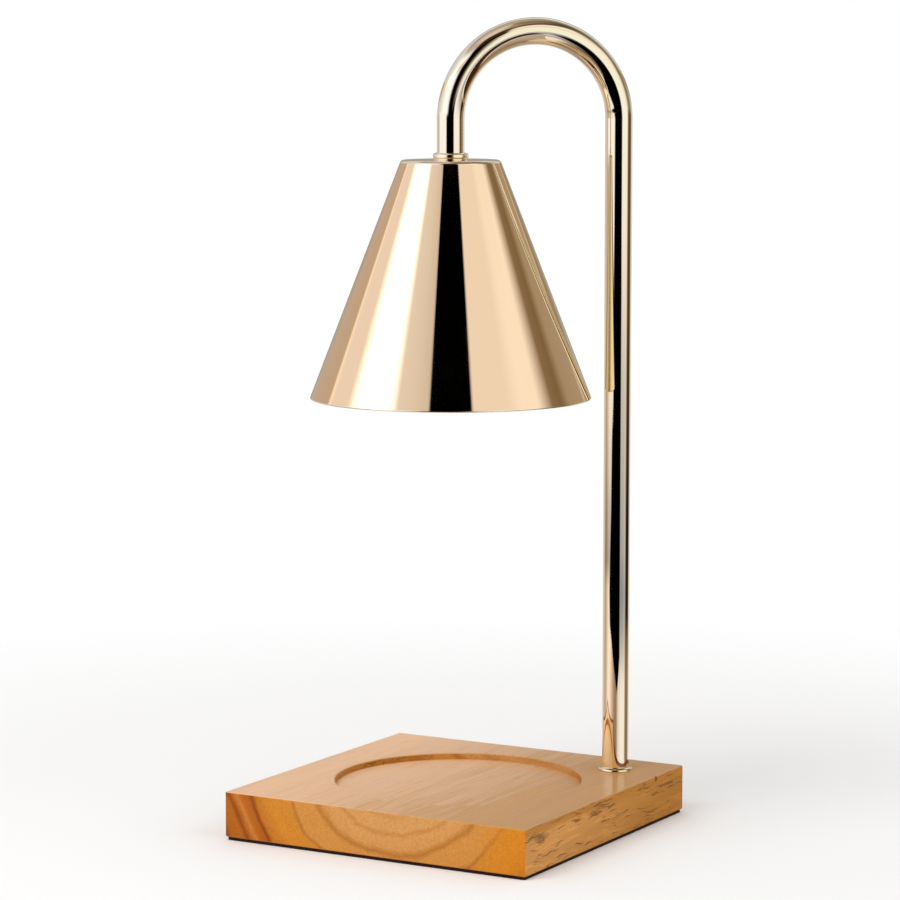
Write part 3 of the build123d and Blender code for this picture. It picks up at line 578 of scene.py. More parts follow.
unseen = calc(sheet, "MULTIPLY", past_edge, sheet_rays["Is Glossy Ray"])
surface = add(sheet, "ShaderNodeMixShader", {"Fac": unseen, 1: surface, 2: clear}).outputs[0]
add(sheet, "ShaderNodeOutputMaterial", {"Surface": surface})
floor.data.materials.append(floor_material)
print("floor's material of", len(sheet.nodes), "nodes")

# %% Soft lamps


def soft_lamp(name, angle, elevation, distance, size, power):
    """A square lamp that points at the middle of the object; angle is counted from the camera."""
    data = bpy.data.lights.new(name, "AREA")
    data.shape = "SQUARE"
    data.size = size
    data.energy = power
    lamp = placed(name, data)
    lamp.visible_glossy = False
    towards = outward(view_azimuth + radians(angle), radians(elevation))
    aim_back(lamp, Vector((0, 0, aim_height)), towards, distance)
    print(name, "at", [round(v, 2) for v in lamp.location])


soft_lamp("key_lamp", angle=-50, elevation=48, distance=1.6, size=0.9, power=10.0)
soft_lamp("fill_lamp", angle=60, elevation=30, distance=1.8, size=1.2, power=4.0)

# %% [markdown]
# ## Effects that several finishes share
# A node group is a small effect with named inputs.  Groups here put out only masks, heights and
# colours.  Each material places the group with its own sizes.

# %% Helpers for shader groups and noise


def shader_group(name, inputs, outputs):
    """A new group with float inputs and outputs; returns its tree, given values and results."""
    tree = bpy.data.node_groups.new(name, "ShaderNodeTree")
    for label, value in inputs.items():
        socket = tree.interface.new_socket(name=label, in_out="INPUT", socket_type="NodeSocketFloat")
        socket.default_value = value
    for label in outputs:
        tree.interface.new_socket(name=label, in_out="OUTPUT", socket_type="NodeSocketFloat")
    print("group", name, "with", ", ".join(inputs))
    return tree, add(tree, "NodeGroupInput").outputs, add(tree, "NodeGroupOutput").inputs


def use_group(tree, group, **values):
    """Places a group in a material; keyword names are input names with underscores for spaces."""
    inputs = {name.replace("_", " "): value for name, value in values.items()}
    return add(tree, "ShaderNodeGroup", inputs, node_tree=group).outputs


def scaled(tree, place, scale):
    """A place times a scale for each axis; in metres, so 1000 gives millimetres."""
    return add(tree, "ShaderNodeMapping", {"Vector": place, "Scale": scale}).outputs["Vector"]


def noise(tree, place, scale, detail, roughness):
    """A noise texture's value."""
    inputs = {"Vector": place, "Scale": scale, "Detail": detail, "Roughness": roughness}
    return add(tree, "ShaderNodeTexNoise", inputs).outputs["Fac"]


# %% Handled polish: faint smudges and hairlines
smudges, given, result = shader_group(
    "handled_polish", {"Smudge Size": 18.0, "Hairline Size": 900.0}, ["Smudge", "Height"],
)
smudge_limits = (0.42, 0.72)
hairline_stretch = 0.06
place = object_place(smudges)
wide = noise(smudges, place, given["Smudge Size"], 4.0, 0.6)
feed(smudges, result["Smudge"], fade(smudges, wide, *smudge_limits))
stretched = scaled(smudges, place, (1, 1, hairline_stretch))
feed(smudges, result["Height"], noise(smudges, stretched, given["Hairline Size"], 2.0, 0.6))

# %% Moulded skin: the fine orange peel of ceramic, rubber and plastic
skin, given, result = shader_group(
    "moulded_skin", {"Grain Size": 1500.0, "Mottle Size": 120.0}, ["Height", "Mottle"],
)
place = object_place(skin)
feed(skin, result["Height"], noise(skin, place, given["Grain Size"], 3.0, 0.6))
feed(skin, result["Mottle"], noise(skin, place, given["Mottle Size"], 3.0, 0.5))

# %% Helpers for finishes


def finish(name, colour, metallic=0.0, **sockets):
    """A material with a Principled shader; keyword names are its sockets with underscores."""
    material = bpy.data.materials.new(name)
    material.use_nodes = True
    tree = material.node_tree
    shader = tree.nodes["Principled BSDF"]
    feed(tree, shader.inputs["Base Color"], colour)
    shader.inputs["Metallic"].default_value = metallic
    for label, value in sockets.items():
        shader.inputs[label.replace("_", " ")].default_value = value
    return material, tree, shader.inputs


def bump(tree, surface, height, distance):
    """Feeds a height to the shader's normal; distance is in metres."""
    node = add(tree, "ShaderNodeBump", {"Height": height, "Distance": distance, "Strength": 1.0})
    feed(tree, surface["Normal"], node.outputs["Normal"])


def dress_node(node, material):
    """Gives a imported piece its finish."""
    for slot in nodes[node].material_slots:
        slot.material = material
    print(node, "wears", material.name)


# %% [markdown]
# ## Rose-gold plating
# The tube, the cone and the two collars are steel under a thin bright plating between gold and
# nickel.  It is a full metal with a low roughness.  Smudges raise the roughness a little here
# and there, and hairlines run along the work, too fine to break the reflections.

# %% Plating
polish_roughness = (0.02, 0.045)
hairline_depth = 0.0001 * mm


def plated(name, colour):
    """Bright plating of one tone, with smudges and hairlines."""
    material, tree, surface = finish(name, colour, 1.0)
    polish = use_group(tree, smudges, Smudge_Size=16.0, Hairline_Size=1400.0)
    feed(tree, surface["Roughness"], fade(tree, polish["Smudge"], 0.0, 1.0, *polish_roughness))
    bump(tree, surface, polish["Height"], hairline_depth)
    print("plating", name, colour)
    return material


plating = plated("plating", (0.93, 0.77, 0.53))
ring_plating = plated("ring_plating", (0.90, 0.68, 0.41))

# %% [markdown]
# ## Turned and swept metal
# A lathe makes the cone and the collars, and a tube bender makes the post, so their shapes
# follow a rule: an outline goes round an axis, or a circle goes along a path.  One Geometry
# Nodes tree does both, because a lathe's path is just a small circle.  The tree reads its path
# from the object's own edges and takes the outline from a second object.

# %% The tree that carries an outline along a path
weld_distance = 0.002 * mm
sharp_angle = radians(38)
sweep = bpy.data.node_groups.new("carry_outline", "GeometryNodeTree")
sweep_inputs = {}
for label, kind in (
    ("Geometry", "NodeSocketGeometry"),
    ("Outline", "NodeSocketObject"),
    ("Material", "NodeSocketMaterial"),
    ("Caps", "NodeSocketBool"),
):
    socket = sweep.interface.new_socket(name=label, in_out="INPUT", socket_type=kind)
    sweep_inputs[label] = socket.identifier
sweep.interface.new_socket(name="Geometry", in_out="OUTPUT", socket_type="NodeSocketGeometry")


def pass_on(kind, geometry, inputs=None, **settings):
    """Adds a node that takes a geometry and hands it on."""
    node = add(sweep, kind, inputs, **settings)
    feed(sweep, node.inputs[0], geometry)
    return node.outputs[0]


given = add(sweep, "NodeGroupInput").outputs
outline_info = add(sweep, "GeometryNodeObjectInfo", {"Object": given["Outline"]})
outline_curve = pass_on("GeometryNodeMeshToCurve", outline_info.outputs["Geometry"])
path_curve = pass_on("GeometryNodeMeshToCurve", given["Geometry"])
carried = pass_on(
    "GeometryNodeCurveToMesh", path_curve, {"Profile Curve": outline_curve, "Fill Caps": given["Caps"]},
)
carried = pass_on("GeometryNodeMergeByDistance", carried, {"Distance": weld_distance})
carried = pass_on("GeometryNodeSetShadeSmooth", carried, domain="FACE")
# corners and open edges stay sharp
corner_angle = add(sweep, "GeometryNodeInputMeshEdgeAngle").outputs["Unsigned Angle"]
faces_beside = add(sweep, "GeometryNodeInputMeshEdgeNeighbors").outputs["Face Count"]
is_corner = calc(sweep, "GREATER_THAN", corner_angle, sharp_angle)
is_open = calc(sweep, "LESS_THAN", faces_beside, 1.5)
sharp = {"Selection": calc(sweep, "MAXIMUM", is_corner, is_open), "Shade Smooth": False}
carried = pass_on("GeometryNodeSetShadeSmooth", carried, sharp, domain="EDGE")
carried = pass_on("GeometryNodeRealizeInstances", carried)
carried = pass_on("GeometryNodeSetMaterial", carried, {"Material": given["Material"]})
add(sweep, "NodeGroupOutput", {"Geometry": carried})
print("tree", sweep.name, "with", len(sweep.nodes), "nodes")

# %% Running the tree and keeping its result


def edge_mesh(name, points, closed):
    """A mesh of edges only, through the points."""
    mesh = bpy.data.meshes.new(name)
    edges = [(i, i + 1) for i in range(len(points) - 1)]
    if closed:
        edges.append((len(points) - 1, 0))
    mesh.from_pydata([tuple(p) for p in points], edges, [])
    return mesh


def face_outwards(mesh):
    """Turns every face of a closed mesh outwards."""
    work = bmesh.new()
    work.from_mesh(mesh)
    bmesh.ops.recalc_face_normals(work, faces=work.faces)
    work.to_mesh(mesh)
    work.free()


def swept(name, outline, path, path_closed, material, body, node_names, caps=False):
    """Carries a closed outline along a path, and keeps the result as a plain piece on its body."""
    outline_object = placed(name + "_outline", edge_mesh(name + "_outline", outline, True))
    carrier = placed(name + "_path", edge_mesh(name + "_path", path, path_closed))
    modifier = carrier.modifiers.new("carry", "NODES")
    modifier.node_group = sweep
    for label, value in (("Outline", outline_object), ("Material", material), ("Caps", caps)):
        modifier[sweep_inputs[label]] = value
    bpy.context.view_layer.update()
    evaluated = carrier.evaluated_get(bpy.context.evaluated_depsgraph_get())
    mesh = bpy.data.meshes.new_from_object(evaluated)
    mesh.name = name
    carrier.modifiers.clear()
    bpy.data.objects.remove(carrier)
    bpy.data.objects.remove(outline_object)
    face_outwards(mesh)
    piece = placed(name, mesh)
    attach(piece, body)
    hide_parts(*node_names)
    print(name, len(mesh.polygons), "faces")
    return piece


# %% Outlines with rounded corners
arc_step = radians(9)
least_arc_steps = 3
flank_step = 5 * mm
guard = 0.25 * mm


def rounded(corners):
    """A closed outline from corners (across, up, radius): arcs at them, rows along the flanks."""
    points = []
    for index, (x, y, radius) in enumerate(corners):
        here = Vector((x, y))
        if radius == 0:
            points.append(here)
            continue
        before = (Vector(corners[index - 1][:2]) - here).normalized()
        after = (Vector(corners[(index + 1) % len(corners)][:2]) - here).normalized()
        half_angle = before.angle(after) / 2
        centre = here + (before + after).normalized() * (radius / sin(half_angle))
        start = here + before * (radius / tan(half_angle)) - centre
        end = here + after * (radius / tan(half_angle)) - centre
        turning = start.angle_signed(end)
        steps = max(least_arc_steps, round(abs(turning) / arc_step))
        for step in range(steps + 1):
            angle = -turning * step / steps
            points.append(centre + Vector((
                start.x * cos(angle) - start.y * sin(angle),
                start.x * sin(angle) + start.y * cos(angle),
            )))
    return with_rows(points)


def with_rows(points):
    """Adds a guard row near both ends of each long flank, and rows between them."""
    filled = []
    for index, here in enumerate(points):
        filled.append(here)
        there = points[(index + 1) % len(points)]
        length = (there - here).length
        if length < 4 * guard:
            continue
        steps = max(1, round((length - 2 * guard) / flank_step))
        for step in range(steps + 1):
            along = guard + (length - 2 * guard) * step / steps
            filled.append(here.lerp(there, along / length))
    return filled


# %% A lathe
lathe_radius = 1 * mm


def circle_points(radius, count, centre=Vector((0, 0))):
    """Points round a level circle."""
    angles = [2 * pi * step / count for step in range(count)]
    return [(centre.x + radius * cos(angle), centre.y + radius * sin(angle), 0) for angle in angles]


def turned(name, corners, axis, body, node_names, slot, material, around=192):
    """Turns an outline of (radius, height, corner radius) round an upright axis."""
    # on this path an outline's second number counts downwards
    outline = [(radius - lathe_radius, -height, 0) for radius, height in rounded(corners)]
    path = circle_points(lathe_radius, around, axis)
    swept(name, outline, path, True, material, body, node_names)


# %% [markdown]
# ## The cone
# A thin sheet of steel is spun over a former into a cone, with a small radius at its shoulder
# and a rim that is only dulled.  Its flank is straight, so each card of the studio shows as one
# straight band that narrows towards the top.

# %% Turn the cone
shade_wall = 1.0 * mm
shade_top_radius = 21.7 * mm
shade_hole_radius = 5.2 * mm
shoulder_round = 2.0 * mm
rim_round = 0.4 * mm
flank = Vector((shade_top_radius - rim_radius, shade_high.z - shade_low.z))
lean = atan2(-flank.x, flank.y)
inner_rim_radius = rim_radius - shade_wall / cos(lean)
inner_top = shade_high.z - shade_wall
inner_top_radius = inner_rim_radius + flank.x * (inner_top - shade_low.z) / flank.y
turned(
    "spun_cone",
    [
        (rim_radius, shade_low.z, rim_round),
        (shade_top_radius, shade_high.z, shoulder_round),
        (shade_hole_radius, shade_high.z, 0),
        (shade_hole_radius, inner_top, 0),
        (inner_top_radius, inner_top, shoulder_round - shade_wall),
        (inner_rim_radius, shade_low.z, rim_round),
    ],
    shade_axis, "lamp", ["shade"], "plating", plating,
)

# %% [markdown]
# ## The bent tube
# The post, the half circle and the short leg are one length of tube, bent once.  The path is a
# straight run, a half circle and a straight run.  A circle goes along it, and Solidify gives
# the wall.

# %% The tube's centre line
tube_wall = 1.5 * mm
arch_steps = 220
run_rows = 8
tube_around = 120
collar_web = 1.0 * mm
leg_end = shade_high.z + collar_web


def run(column, low, high):
    """Points up a straight run, without its last point, with a guard row at its foot."""
    points = [Vector((column.x, column.y, low + (high - low) * row / run_rows)) for row in range(run_rows)]
    points.insert(1, points[0] + Vector((0, 0, guard)))
    return points


centre_line = run(post_axis, tube_low.z, arch_height)
arch_centre = (post_axis + shade_axis) / 2
for row in range(arch_steps + 1):
    angle = pi * row / arch_steps
    across = hook_direction * (bend_radius * cos(angle))
    up = arch_height + bend_radius * sin(angle)
    centre_line.append(Vector((arch_centre.x + across.x, arch_centre.y + across.y, up)))
centre_line += run(shade_axis, leg_end, arch_height)[::-1]
print("centre line of", len(centre_line), "points")

# %% Bend the tube
post = swept(
    "bent_tube", circle_points(tube_radius, tube_around), centre_line, False, plating,
    "lamp", ["gooseneck_tube"],
)
wall = post.modifiers.new("wall", "SOLIDIFY")
wall.thickness = tube_wall
wall.offset = -1.0
wall.use_even_offset = True

# %% [markdown]
# ## The collars
# Two small turned rings hide the joints.  The lower one is a low dome where the post meets the
# wood.  The upper one is a foot and a bead between the leg of the tube and the cone.

# %% Turn the collars
tube_fit = 0.05 * mm
collar_bore = 5.2 * mm
foot_low, foot_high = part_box("foot_collar")
foot_radius = (foot_high.x - foot_low.x) / 2
turned(
    "foot_ring",
    [
        (collar_bore, foot_low.z, 0.1 * mm),
        (foot_radius, foot_low.z, 0.25 * mm),
        (foot_radius - 0.15 * mm, foot_low.z + 1.1 * mm, 0.8 * mm),
        (tube_radius + 0.6 * mm, foot_high.z, 0.25 * mm),
        (tube_radius + tube_fit, foot_high.z, 0.08 * mm),
        (tube_radius + tube_fit, foot_low.z + collar_web, 0),
        (collar_bore, foot_low.z + collar_web, 0),
    ],
    post_axis, "lamp", ["foot_collar"], "plating", ring_plating, around=128,
)
collar_low, collar_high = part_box("shade_collar")
collar_radius = (collar_high.x - collar_low.x) / 2
collar_foot = 7.2 * mm
bead_low = collar_low.z + 0.6 * mm
turned(
    "bead_ring",
    [
        (collar_bore, collar_low.z, 0),
        (collar_foot, collar_low.z, 0.12 * mm),
        (collar_foot, bead_low, 0.08 * mm),
        (collar_radius + 0.12 * mm, bead_low + 0.35 * mm, 0.6 * mm),
        (collar_radius, collar_high.z - 0.5 * mm, 0.75 * mm),
        (tube_radius + 0.75 * mm, collar_high.z, 0.2 * mm),
        (tube_radius + tube_fit, collar_high.z, 0.08 * mm),
        (tube_radius + tube_fit, leg_end, 0),
        (collar_bore, leg_end, 0),
    ],
    shade_axis, "lamp", ["shade_collar"], "plating", plating, around=128,
)

# %% [markdown]
# ## The wooden base
# The block is sawn from a plank beside the heart of the tree, so its front face is end grain
# with wide arcs of growth rings, and its other faces show fine straight grain and pores.  A
# solid texture gets all of this right at once: rings are tubes round the heart line, and every
# face cuts through the same tubes.

# %% Colours of the wood


def paint(*display):
    """A display colour, 0 to 255, as the linear colour that shaders use."""
    shares = [value / 255 for value in display]
    return tuple(((v + 0.055) / 1.055) ** 2.4 if v > 0.0404 else v / 12.92 for v in shares)


heart_x = 11 * mm
heart_z = 50 * mm
ring_reach = 100
# growth rings of the end grain: distance from the heart in millimetres, and display colour there
end_rings = [
    (0, (209, 150, 85)),
    (28.5, (209, 150, 85)),
    (30, (201, 140, 75)),
    (31.5, (209, 150, 85)),
    (36.5, (209, 150, 85)),
    (38, (196, 134, 67)),
    (40, (209, 150, 85)),
    (45, (207, 146, 78)),
    (48, (180, 115, 46)),
    (50, (205, 140, 65)),
    (58.6, (205, 138, 62)),
    (60, (179, 110, 44)),
    (61.4, (204, 131, 42)),
    (70, (207, 132, 40)),
    (77, (190, 112, 30)),
    (79, (138, 62, 8)),
    (80.5, (172, 92, 16)),
    (83.5, (180, 98, 22)),
    (85.5, (200, 122, 50)),
    (88, (172, 92, 18)),
    (89.2, (142, 66, 8)),
    (91, (176, 98, 20)),
    (96, (170, 94, 20)),
    (97.5, (140, 66, 10)),
    (100, (160, 86, 16)),
]
end_orange = paint(211, 129, 26)
side_front = paint(205, 144, 75)
side_back = paint(178, 115, 32)
side_band = paint(182, 118, 36)
# the top's pale colour is partly the wood's own tone and partly a painted sheen
top_pale_with_sheen = paint(236, 190, 150)
top_dark = paint(196, 146, 92)
# colours the wood takes only in the plating's reflections: a painted dark line of shade at its rim and a
# painted brightening in the middle
painted_shade_rim_in_mirrors = (0.30, 0.10, 0.03)
painted_brightening_in_mirrors = (1.16, 1.36, 1.5)
pore_colour = paint(104, 58, 20)
knot_colour = paint(80, 42, 14)
print("end grain of", len(end_rings), "stops")

# %% Grain and places on the block
# Each pattern of the grain is a noise: cells per metre across the grain, the same along it,
# detail and roughness.
grains = {
    "wander": (40, 4, 2.0, 0.5),
    "jitter": (150, 10, 2.0, 0.5),
    "fleck": (1300, 300, 3.0, 0.7),
    "fibre": (900, 22, 4.0, 0.65),
    "broad": (90, 7, 3.0, 0.55),
    "sway": (60, 60, 2.0, 0.5),
    "pore lines": (820, 62, 3.0, 0.6),
    "pore groups": (110, 38, 2.0, 0.5),
    "pale lines": (500, 40, 3.0, 0.6),
}
oak, wood, oak_surface = finish("oak", side_front, Coat_Roughness=0.10, IOR=1.45, Specular_IOR_Level=0.15)
place = object_place(wood)
across, along, upward = apart(wood, place)


def grain(name, where=place):
    """One of the grain's patterns, from 0 to 1."""
    across_scale, along_scale, detail, roughness = grains[name]
    stretched = scaled(wood, where, (across_scale, along_scale, across_scale))
    return noise(wood, stretched, 1.0, detail, roughness)


def swing(name, reach, start):
    """A start value that one of the grain's patterns moves up and down by half its reach."""
    return calc(wood, "MULTIPLY_ADD", calc(wood, "SUBTRACT", grain(name), 0.5), reach, start)


# a face belongs to an axis when its normal is nearly along it; rounded edges blend
upright_limits = (0.55, 0.85)
top_limits = (0.5, 0.85)
facing = apart(wood, add(wood, "ShaderNodeTexCoord").outputs["Normal"])
end_face = fade(wood, calc(wood, "ABSOLUTE", facing["Y"]), *upright_limits)
side_face = fade(wood, calc(wood, "ABSOLUTE", facing["X"]), *upright_limits)
top_face = fade(wood, facing["Z"], *top_limits)
print("grain patterns:", ", ".join(grains))

# %% Growth rings of the end grain
wander_reach = 9 * mm
jitter_reach = 1.8 * mm
# the right end of the front turns orange
orange_from, orange_to, orange_strength = 48 * mm, 72 * mm, 0.75
level = add(wood, "ShaderNodeCombineXYZ", {"X": across, "Z": upward}).outputs["Vector"]
heart_distance = between(wood, "DISTANCE", level, (heart_x, 0, heart_z))
uneven = swing("wander", wander_reach, swing("jitter", jitter_reach, heart_distance))
ring_share = calc(wood, "DIVIDE", uneven, ring_reach * mm)
ring_stops = [(distance / ring_reach, paint(*display)) for distance, display in end_rings]
ring_colour = ramp(wood, ring_share, ring_stops)
orange_share = calc(wood, "MULTIPLY", fade(wood, across, orange_from, orange_to), orange_strength)
end_colour = blend_colours(wood, orange_share, ring_colour, end_orange)
print("rings round the heart at", round(heart_x, 3), round(heart_z, 3))

# %% Sides and top
front_end, back_end = -60 * mm, 70 * mm
band_from, band_to, band_strength = 16.5 * mm, 19 * mm, 0.7
fibre_share, broad_share = 0.9, 0.6
# the top darkens from left to right, by so much for each metre
drift = 5.0
streak_limits = (0.45, 1.05)
fibre = grain("fibre")
broad = grain("broad")
side_colour = blend_colours(wood, fade(wood, along, front_end, back_end), side_front, side_back)
on_band = calc(wood, "MULTIPLY", fade(wood, upward, band_from, band_to), band_strength)
side_colour = blend_colours(wood, on_band, side_colour, side_band)
streaks = calc(wood, "MULTIPLY_ADD", fibre, fibre_share, calc(wood, "MULTIPLY", broad, broad_share))
streaks = calc(wood, "MULTIPLY_ADD", across, drift, streaks)
# the top mixes its pale colour, partly a painted sheen, with darker streaks
top_colour_with_sheen = blend_colours(wood, fade(wood, streaks, *streak_limits), top_pale_with_sheen, top_dark)
print("top from", [round(v, 2) for v in top_pale_with_sheen], "to", [round(v, 2) for v in top_dark])

# %% [markdown]
# ### Pores and pin knots
# Pores are short dark dashes along the grain, and they come in groups.  A stretched noise gives
# the dashes.  A coarser one sets how high the first has to rise to count as a pore, so that
# some places have many and others few.  They show on the sides and hardly on the top.

# %% Pores and pin knots
sway_reach = 5 * mm
group_limits = (0.36, 0.56)
level_between_groups, level_in_groups = 0.65, 0.565
pore_softness = 0.05
pale_limits = (0.50, 0.68)
pore_on_sides, pore_elsewhere = 0.62, 0.08
# place and radius in millimetres
pin_knots = [((75, 47, 20.5), 1.7), ((-75, -75, 20.5), 1.6)]
knot_core = 0.4
lifted = add(wood, "ShaderNodeCombineXYZ", {"Z": swing("sway", sway_reach, 0.0)}).outputs["Vector"]
wavy = between(wood, "ADD", place, lifted)
pore_level = fade(wood, grain("pore groups"), *group_limits, level_between_groups, level_in_groups)
above_level = calc(wood, "SUBTRACT", grain("pore lines", wavy), pore_level)
pores = fade(wood, above_level, 0.0, pore_softness)
pale_lines = fade(wood, grain("pale lines", wavy), *pale_limits)
pore_strength = calc(wood, "MULTIPLY_ADD", side_face, pore_on_sides, pore_elsewhere)
pore_share = calc(wood, "MULTIPLY", pores, pore_strength)
knots = 0.0
for spot, size in pin_knots:
    gap = between(wood, "DISTANCE", place, tuple(v * mm for v in spot))
    knots = calc(wood, "MAXIMUM", knots, fade(wood, gap, size * mm, knot_core * size * mm))
print("pin knots", len(pin_knots))

# %% [markdown]
# ### One colour for every face
# Masks from the normal choose the colour of the end grain, the sides or the top.  The tone
# then brightens and darkens it with the fibres, and pores and knots go over it.  In the
# plating's reflections the block's colour is painted over: brighter in the middle, with a
# painted dark line of shade along its edge, and with little lacquer.

# %% One colour for every face
end_contrast, end_base = 0.7, 0.67
fibre_contrast, broad_contrast, side_base = 0.36, 0.4, 0.62
# pale lines on the sides, with the wood between them a little darker
pale_gain, side_loss = 0.2, -0.04
knot_strength = 0.8
# the painted shade line seen in reflections starts this far from the middle
painted_shade_from, painted_shade_to = 64 * mm, 68 * mm
wood_colour = blend_colours(wood, end_face, side_colour, end_colour)
wood_colour = blend_colours(wood, top_face, wood_colour, top_colour_with_sheen)
end_tone = calc(wood, "MULTIPLY_ADD", grain("fleck"), end_contrast, end_base)
side_tone = calc(wood, "MULTIPLY_ADD", broad, broad_contrast, side_base)
side_tone = calc(wood, "MULTIPLY_ADD", fibre, fibre_contrast, side_tone)
tone = calc(wood, "MULTIPLY_ADD", end_face, calc(wood, "SUBTRACT", end_tone, side_tone), side_tone)
tone = calc(wood, "MULTIPLY_ADD", side_face, side_loss, tone)
tone = calc(wood, "MULTIPLY_ADD", calc(wood, "MULTIPLY", side_face, pale_lines), pale_gain, tone)
toned = add(wood, "ShaderNodeVectorMath", {0: wood_colour, "Scale": tone}, operation="SCALE")
pored = blend_colours(wood, pore_share, toned.outputs["Vector"], pore_colour)
knotted = blend_colours(wood, calc(wood, "MULTIPLY", knots, knot_strength), pored, knot_colour)
# in glossy rays the wood's colour is painted over: brighter in the middle, with a painted line of shade
# along the edge
is_mirrored = add(wood, "ShaderNodeLightPath").outputs["Is Glossy Ray"]
off_middle = calc(wood, "MAXIMUM", calc(wood, "ABSOLUTE", across), calc(wood, "ABSOLUTE", along))
painted_shade_edge = fade(wood, off_middle, painted_shade_from, painted_shade_to)
painted_mirror_colour = blend_colours(wood, painted_shade_edge, painted_brightening_in_mirrors, painted_shade_rim_in_mirrors)
painted_mirrored_wood = blend_colours(wood, 1.0, knotted, painted_mirror_colour, "MULTIPLY")
feed(wood, oak_surface["Base Color"], blend_colours(wood, is_mirrored, knotted, painted_mirrored_wood))

# %% Lacquer and relief
# the lacquer has sunk into the sides and most of all into the end grain
lacquer_on_sides = 0.10
lacquer_lost_on_ends = -0.07
lacquer_left_on_top = 0.27
lacquer_in_mirrors = 0.2
fibre_height = 0.4
grain_depth = 0.05 * mm
wood_roughness, fibre_roughness = 0.4, 0.2
lacquer = calc(wood, "MULTIPLY_ADD", end_face, lacquer_lost_on_ends, lacquer_on_sides)
lacquer = calc(wood, "MULTIPLY_ADD", top_face, lacquer_left_on_top, lacquer)
kept_lacquer = fade(wood, is_mirrored, 0.0, 1.0, 1.0, lacquer_in_mirrors)
feed(wood, oak_surface["Coat Weight"], calc(wood, "MULTIPLY", lacquer, kept_lacquer))
rough = calc(wood, "MULTIPLY_ADD", fibre, fibre_roughness, wood_roughness)
feed(wood, oak_surface["Roughness"], rough)
sunk_pores = calc(wood, "MULTIPLY", pores, side_face)
relief = calc(wood, "SUBTRACT", calc(wood, "MULTIPLY", fibre, fibre_height), sunk_pores)
bump(wood, oak_surface, relief, grain_depth)
dress_node("base_block", oak)
print("oak of", len(wood.nodes), "nodes")

# %% [markdown]
# ## Moulded, cast and drawn pieces
# Most of the small pieces hide in the cone and under the block.  Each finish still has its own
# grain: cast and moulded skins are a little mottled, and plated steel is cloudy.  One helper
# makes them all, from two colours that mix in soft clouds, a range of roughness and a fine bump.

# %% Helpers for clouded finishes
cloud_edges = (0.3, 0.7)


def clouded_roughness(tree, surface, grain_size, cloud_size, roughness):
    """Lets the roughness drift between two values, and returns the skin's height and mottle."""
    texture = use_group(tree, skin, Grain_Size=grain_size, Mottle_Size=cloud_size)
    feed(tree, surface["Roughness"], fade(tree, texture["Mottle"], *cloud_edges, *roughness))
    return texture["Height"], texture["Mottle"]


def clouded(name, node_names, light, dark, roughness, sizes, relief, **sockets):
    """A finish that drifts between two colours and two roughnesses; sizes are grain and cloud."""
    material, tree, surface = finish(name, light, **sockets)
    bumps, cloud = clouded_roughness(tree, surface, *sizes, roughness)
    feed(tree, surface["Base Color"], blend_colours(tree, fade(tree, cloud, *cloud_edges), light, dark))
    bump(tree, surface, bumps, relief)
    for node in node_names:
        dress_node(node, material)


# %% Rubber and silicone
clouded(
    "pad", ["base_pad"], light=(0.028, 0.011, 0.006), dark=(0.021, 0.008, 0.005),
    roughness=(0.75, 0.9), sizes=(1800.0, 140.0), relief=0.04 * mm, Specular_IOR_Level=0.2,
)
clouded(
    "black_rubber", ["cord_bushing"], light=(0.024, 0.023, 0.022), dark=(0.018, 0.017, 0.016),
    roughness=(0.5, 0.7), sizes=(1800.0, 90.0), relief=0.04 * mm,
)
clouded(
    "flex_sheath", ["inner_flex"], light=(0.82, 0.80, 0.76), dark=(0.74, 0.71, 0.66),
    roughness=(0.42, 0.58), sizes=(2600.0, 160.0), relief=0.01 * mm,
)
clouded(
    "lead_silicone", ["holder_leads", "base_leads"], light=(0.58, 0.53, 0.48), dark=(0.47, 0.42, 0.38),
    roughness=(0.5, 0.68), sizes=(3200.0, 400.0), relief=0.01 * mm,
)

# %% Ceramic and plastic
clouded(
    "steatite", ["holder_cover", "holder_body"], light=(0.87, 0.85, 0.80), dark=(0.79, 0.76, 0.70),
    roughness=(0.55, 0.75), sizes=(4200.0, 260.0), relief=0.03 * mm,
)
clouded(
    "bulb_ceramic", ["bulb_base"], light=(0.91, 0.90, 0.87), dark=(0.85, 0.83, 0.79),
    roughness=(0.3, 0.46), sizes=(3000.0, 200.0), relief=0.012 * mm,
)
clouded(
    "natural_plastic", ["terminal_block"], light=(0.89, 0.88, 0.84), dark=(0.82, 0.81, 0.76),
    roughness=(0.32, 0.44), sizes=(2400.0, 300.0), relief=0.008 * mm, Subsurface_Weight=0.15,
)

# %% Zinc, nickel and brass
zinc_pieces = [
    "foot_washer", "foot_lock_washer", "foot_nut", "shade_lock_washer", "shade_nut", "holder_bracket",
    "holder_screws", "terminal_screws", "terminal_fixing_screw",
]
clouded(
    "zinc", zinc_pieces, light=(0.70, 0.71, 0.72), dark=(0.55, 0.57, 0.60),
    roughness=(0.26, 0.46), sizes=(5200.0, 420.0), relief=0.004 * mm, metallic=1.0,
)
clouded(
    "nickel", ["bulb_pins"], light=(0.74, 0.72, 0.68), dark=(0.66, 0.64, 0.60),
    roughness=(0.18, 0.3), sizes=(5200.0, 500.0), relief=0.002 * mm, metallic=1.0,
)
clouded(
    "brass", ["terminal_tubes", "holder_contacts"], light=(0.83, 0.65, 0.32), dark=(0.68, 0.48, 0.20),
    roughness=(0.2, 0.38), sizes=(5200.0, 500.0), relief=0.003 * mm, metallic=1.0,
)

# %% [markdown]
# ### Screw thread
# The two hollow stems carry a fine thread over their whole length.  A thread is a ramp that
# climbs one pitch for each turn, so its height comes from the angle round the stem plus the
# height along it.  As a bump it costs no faces.

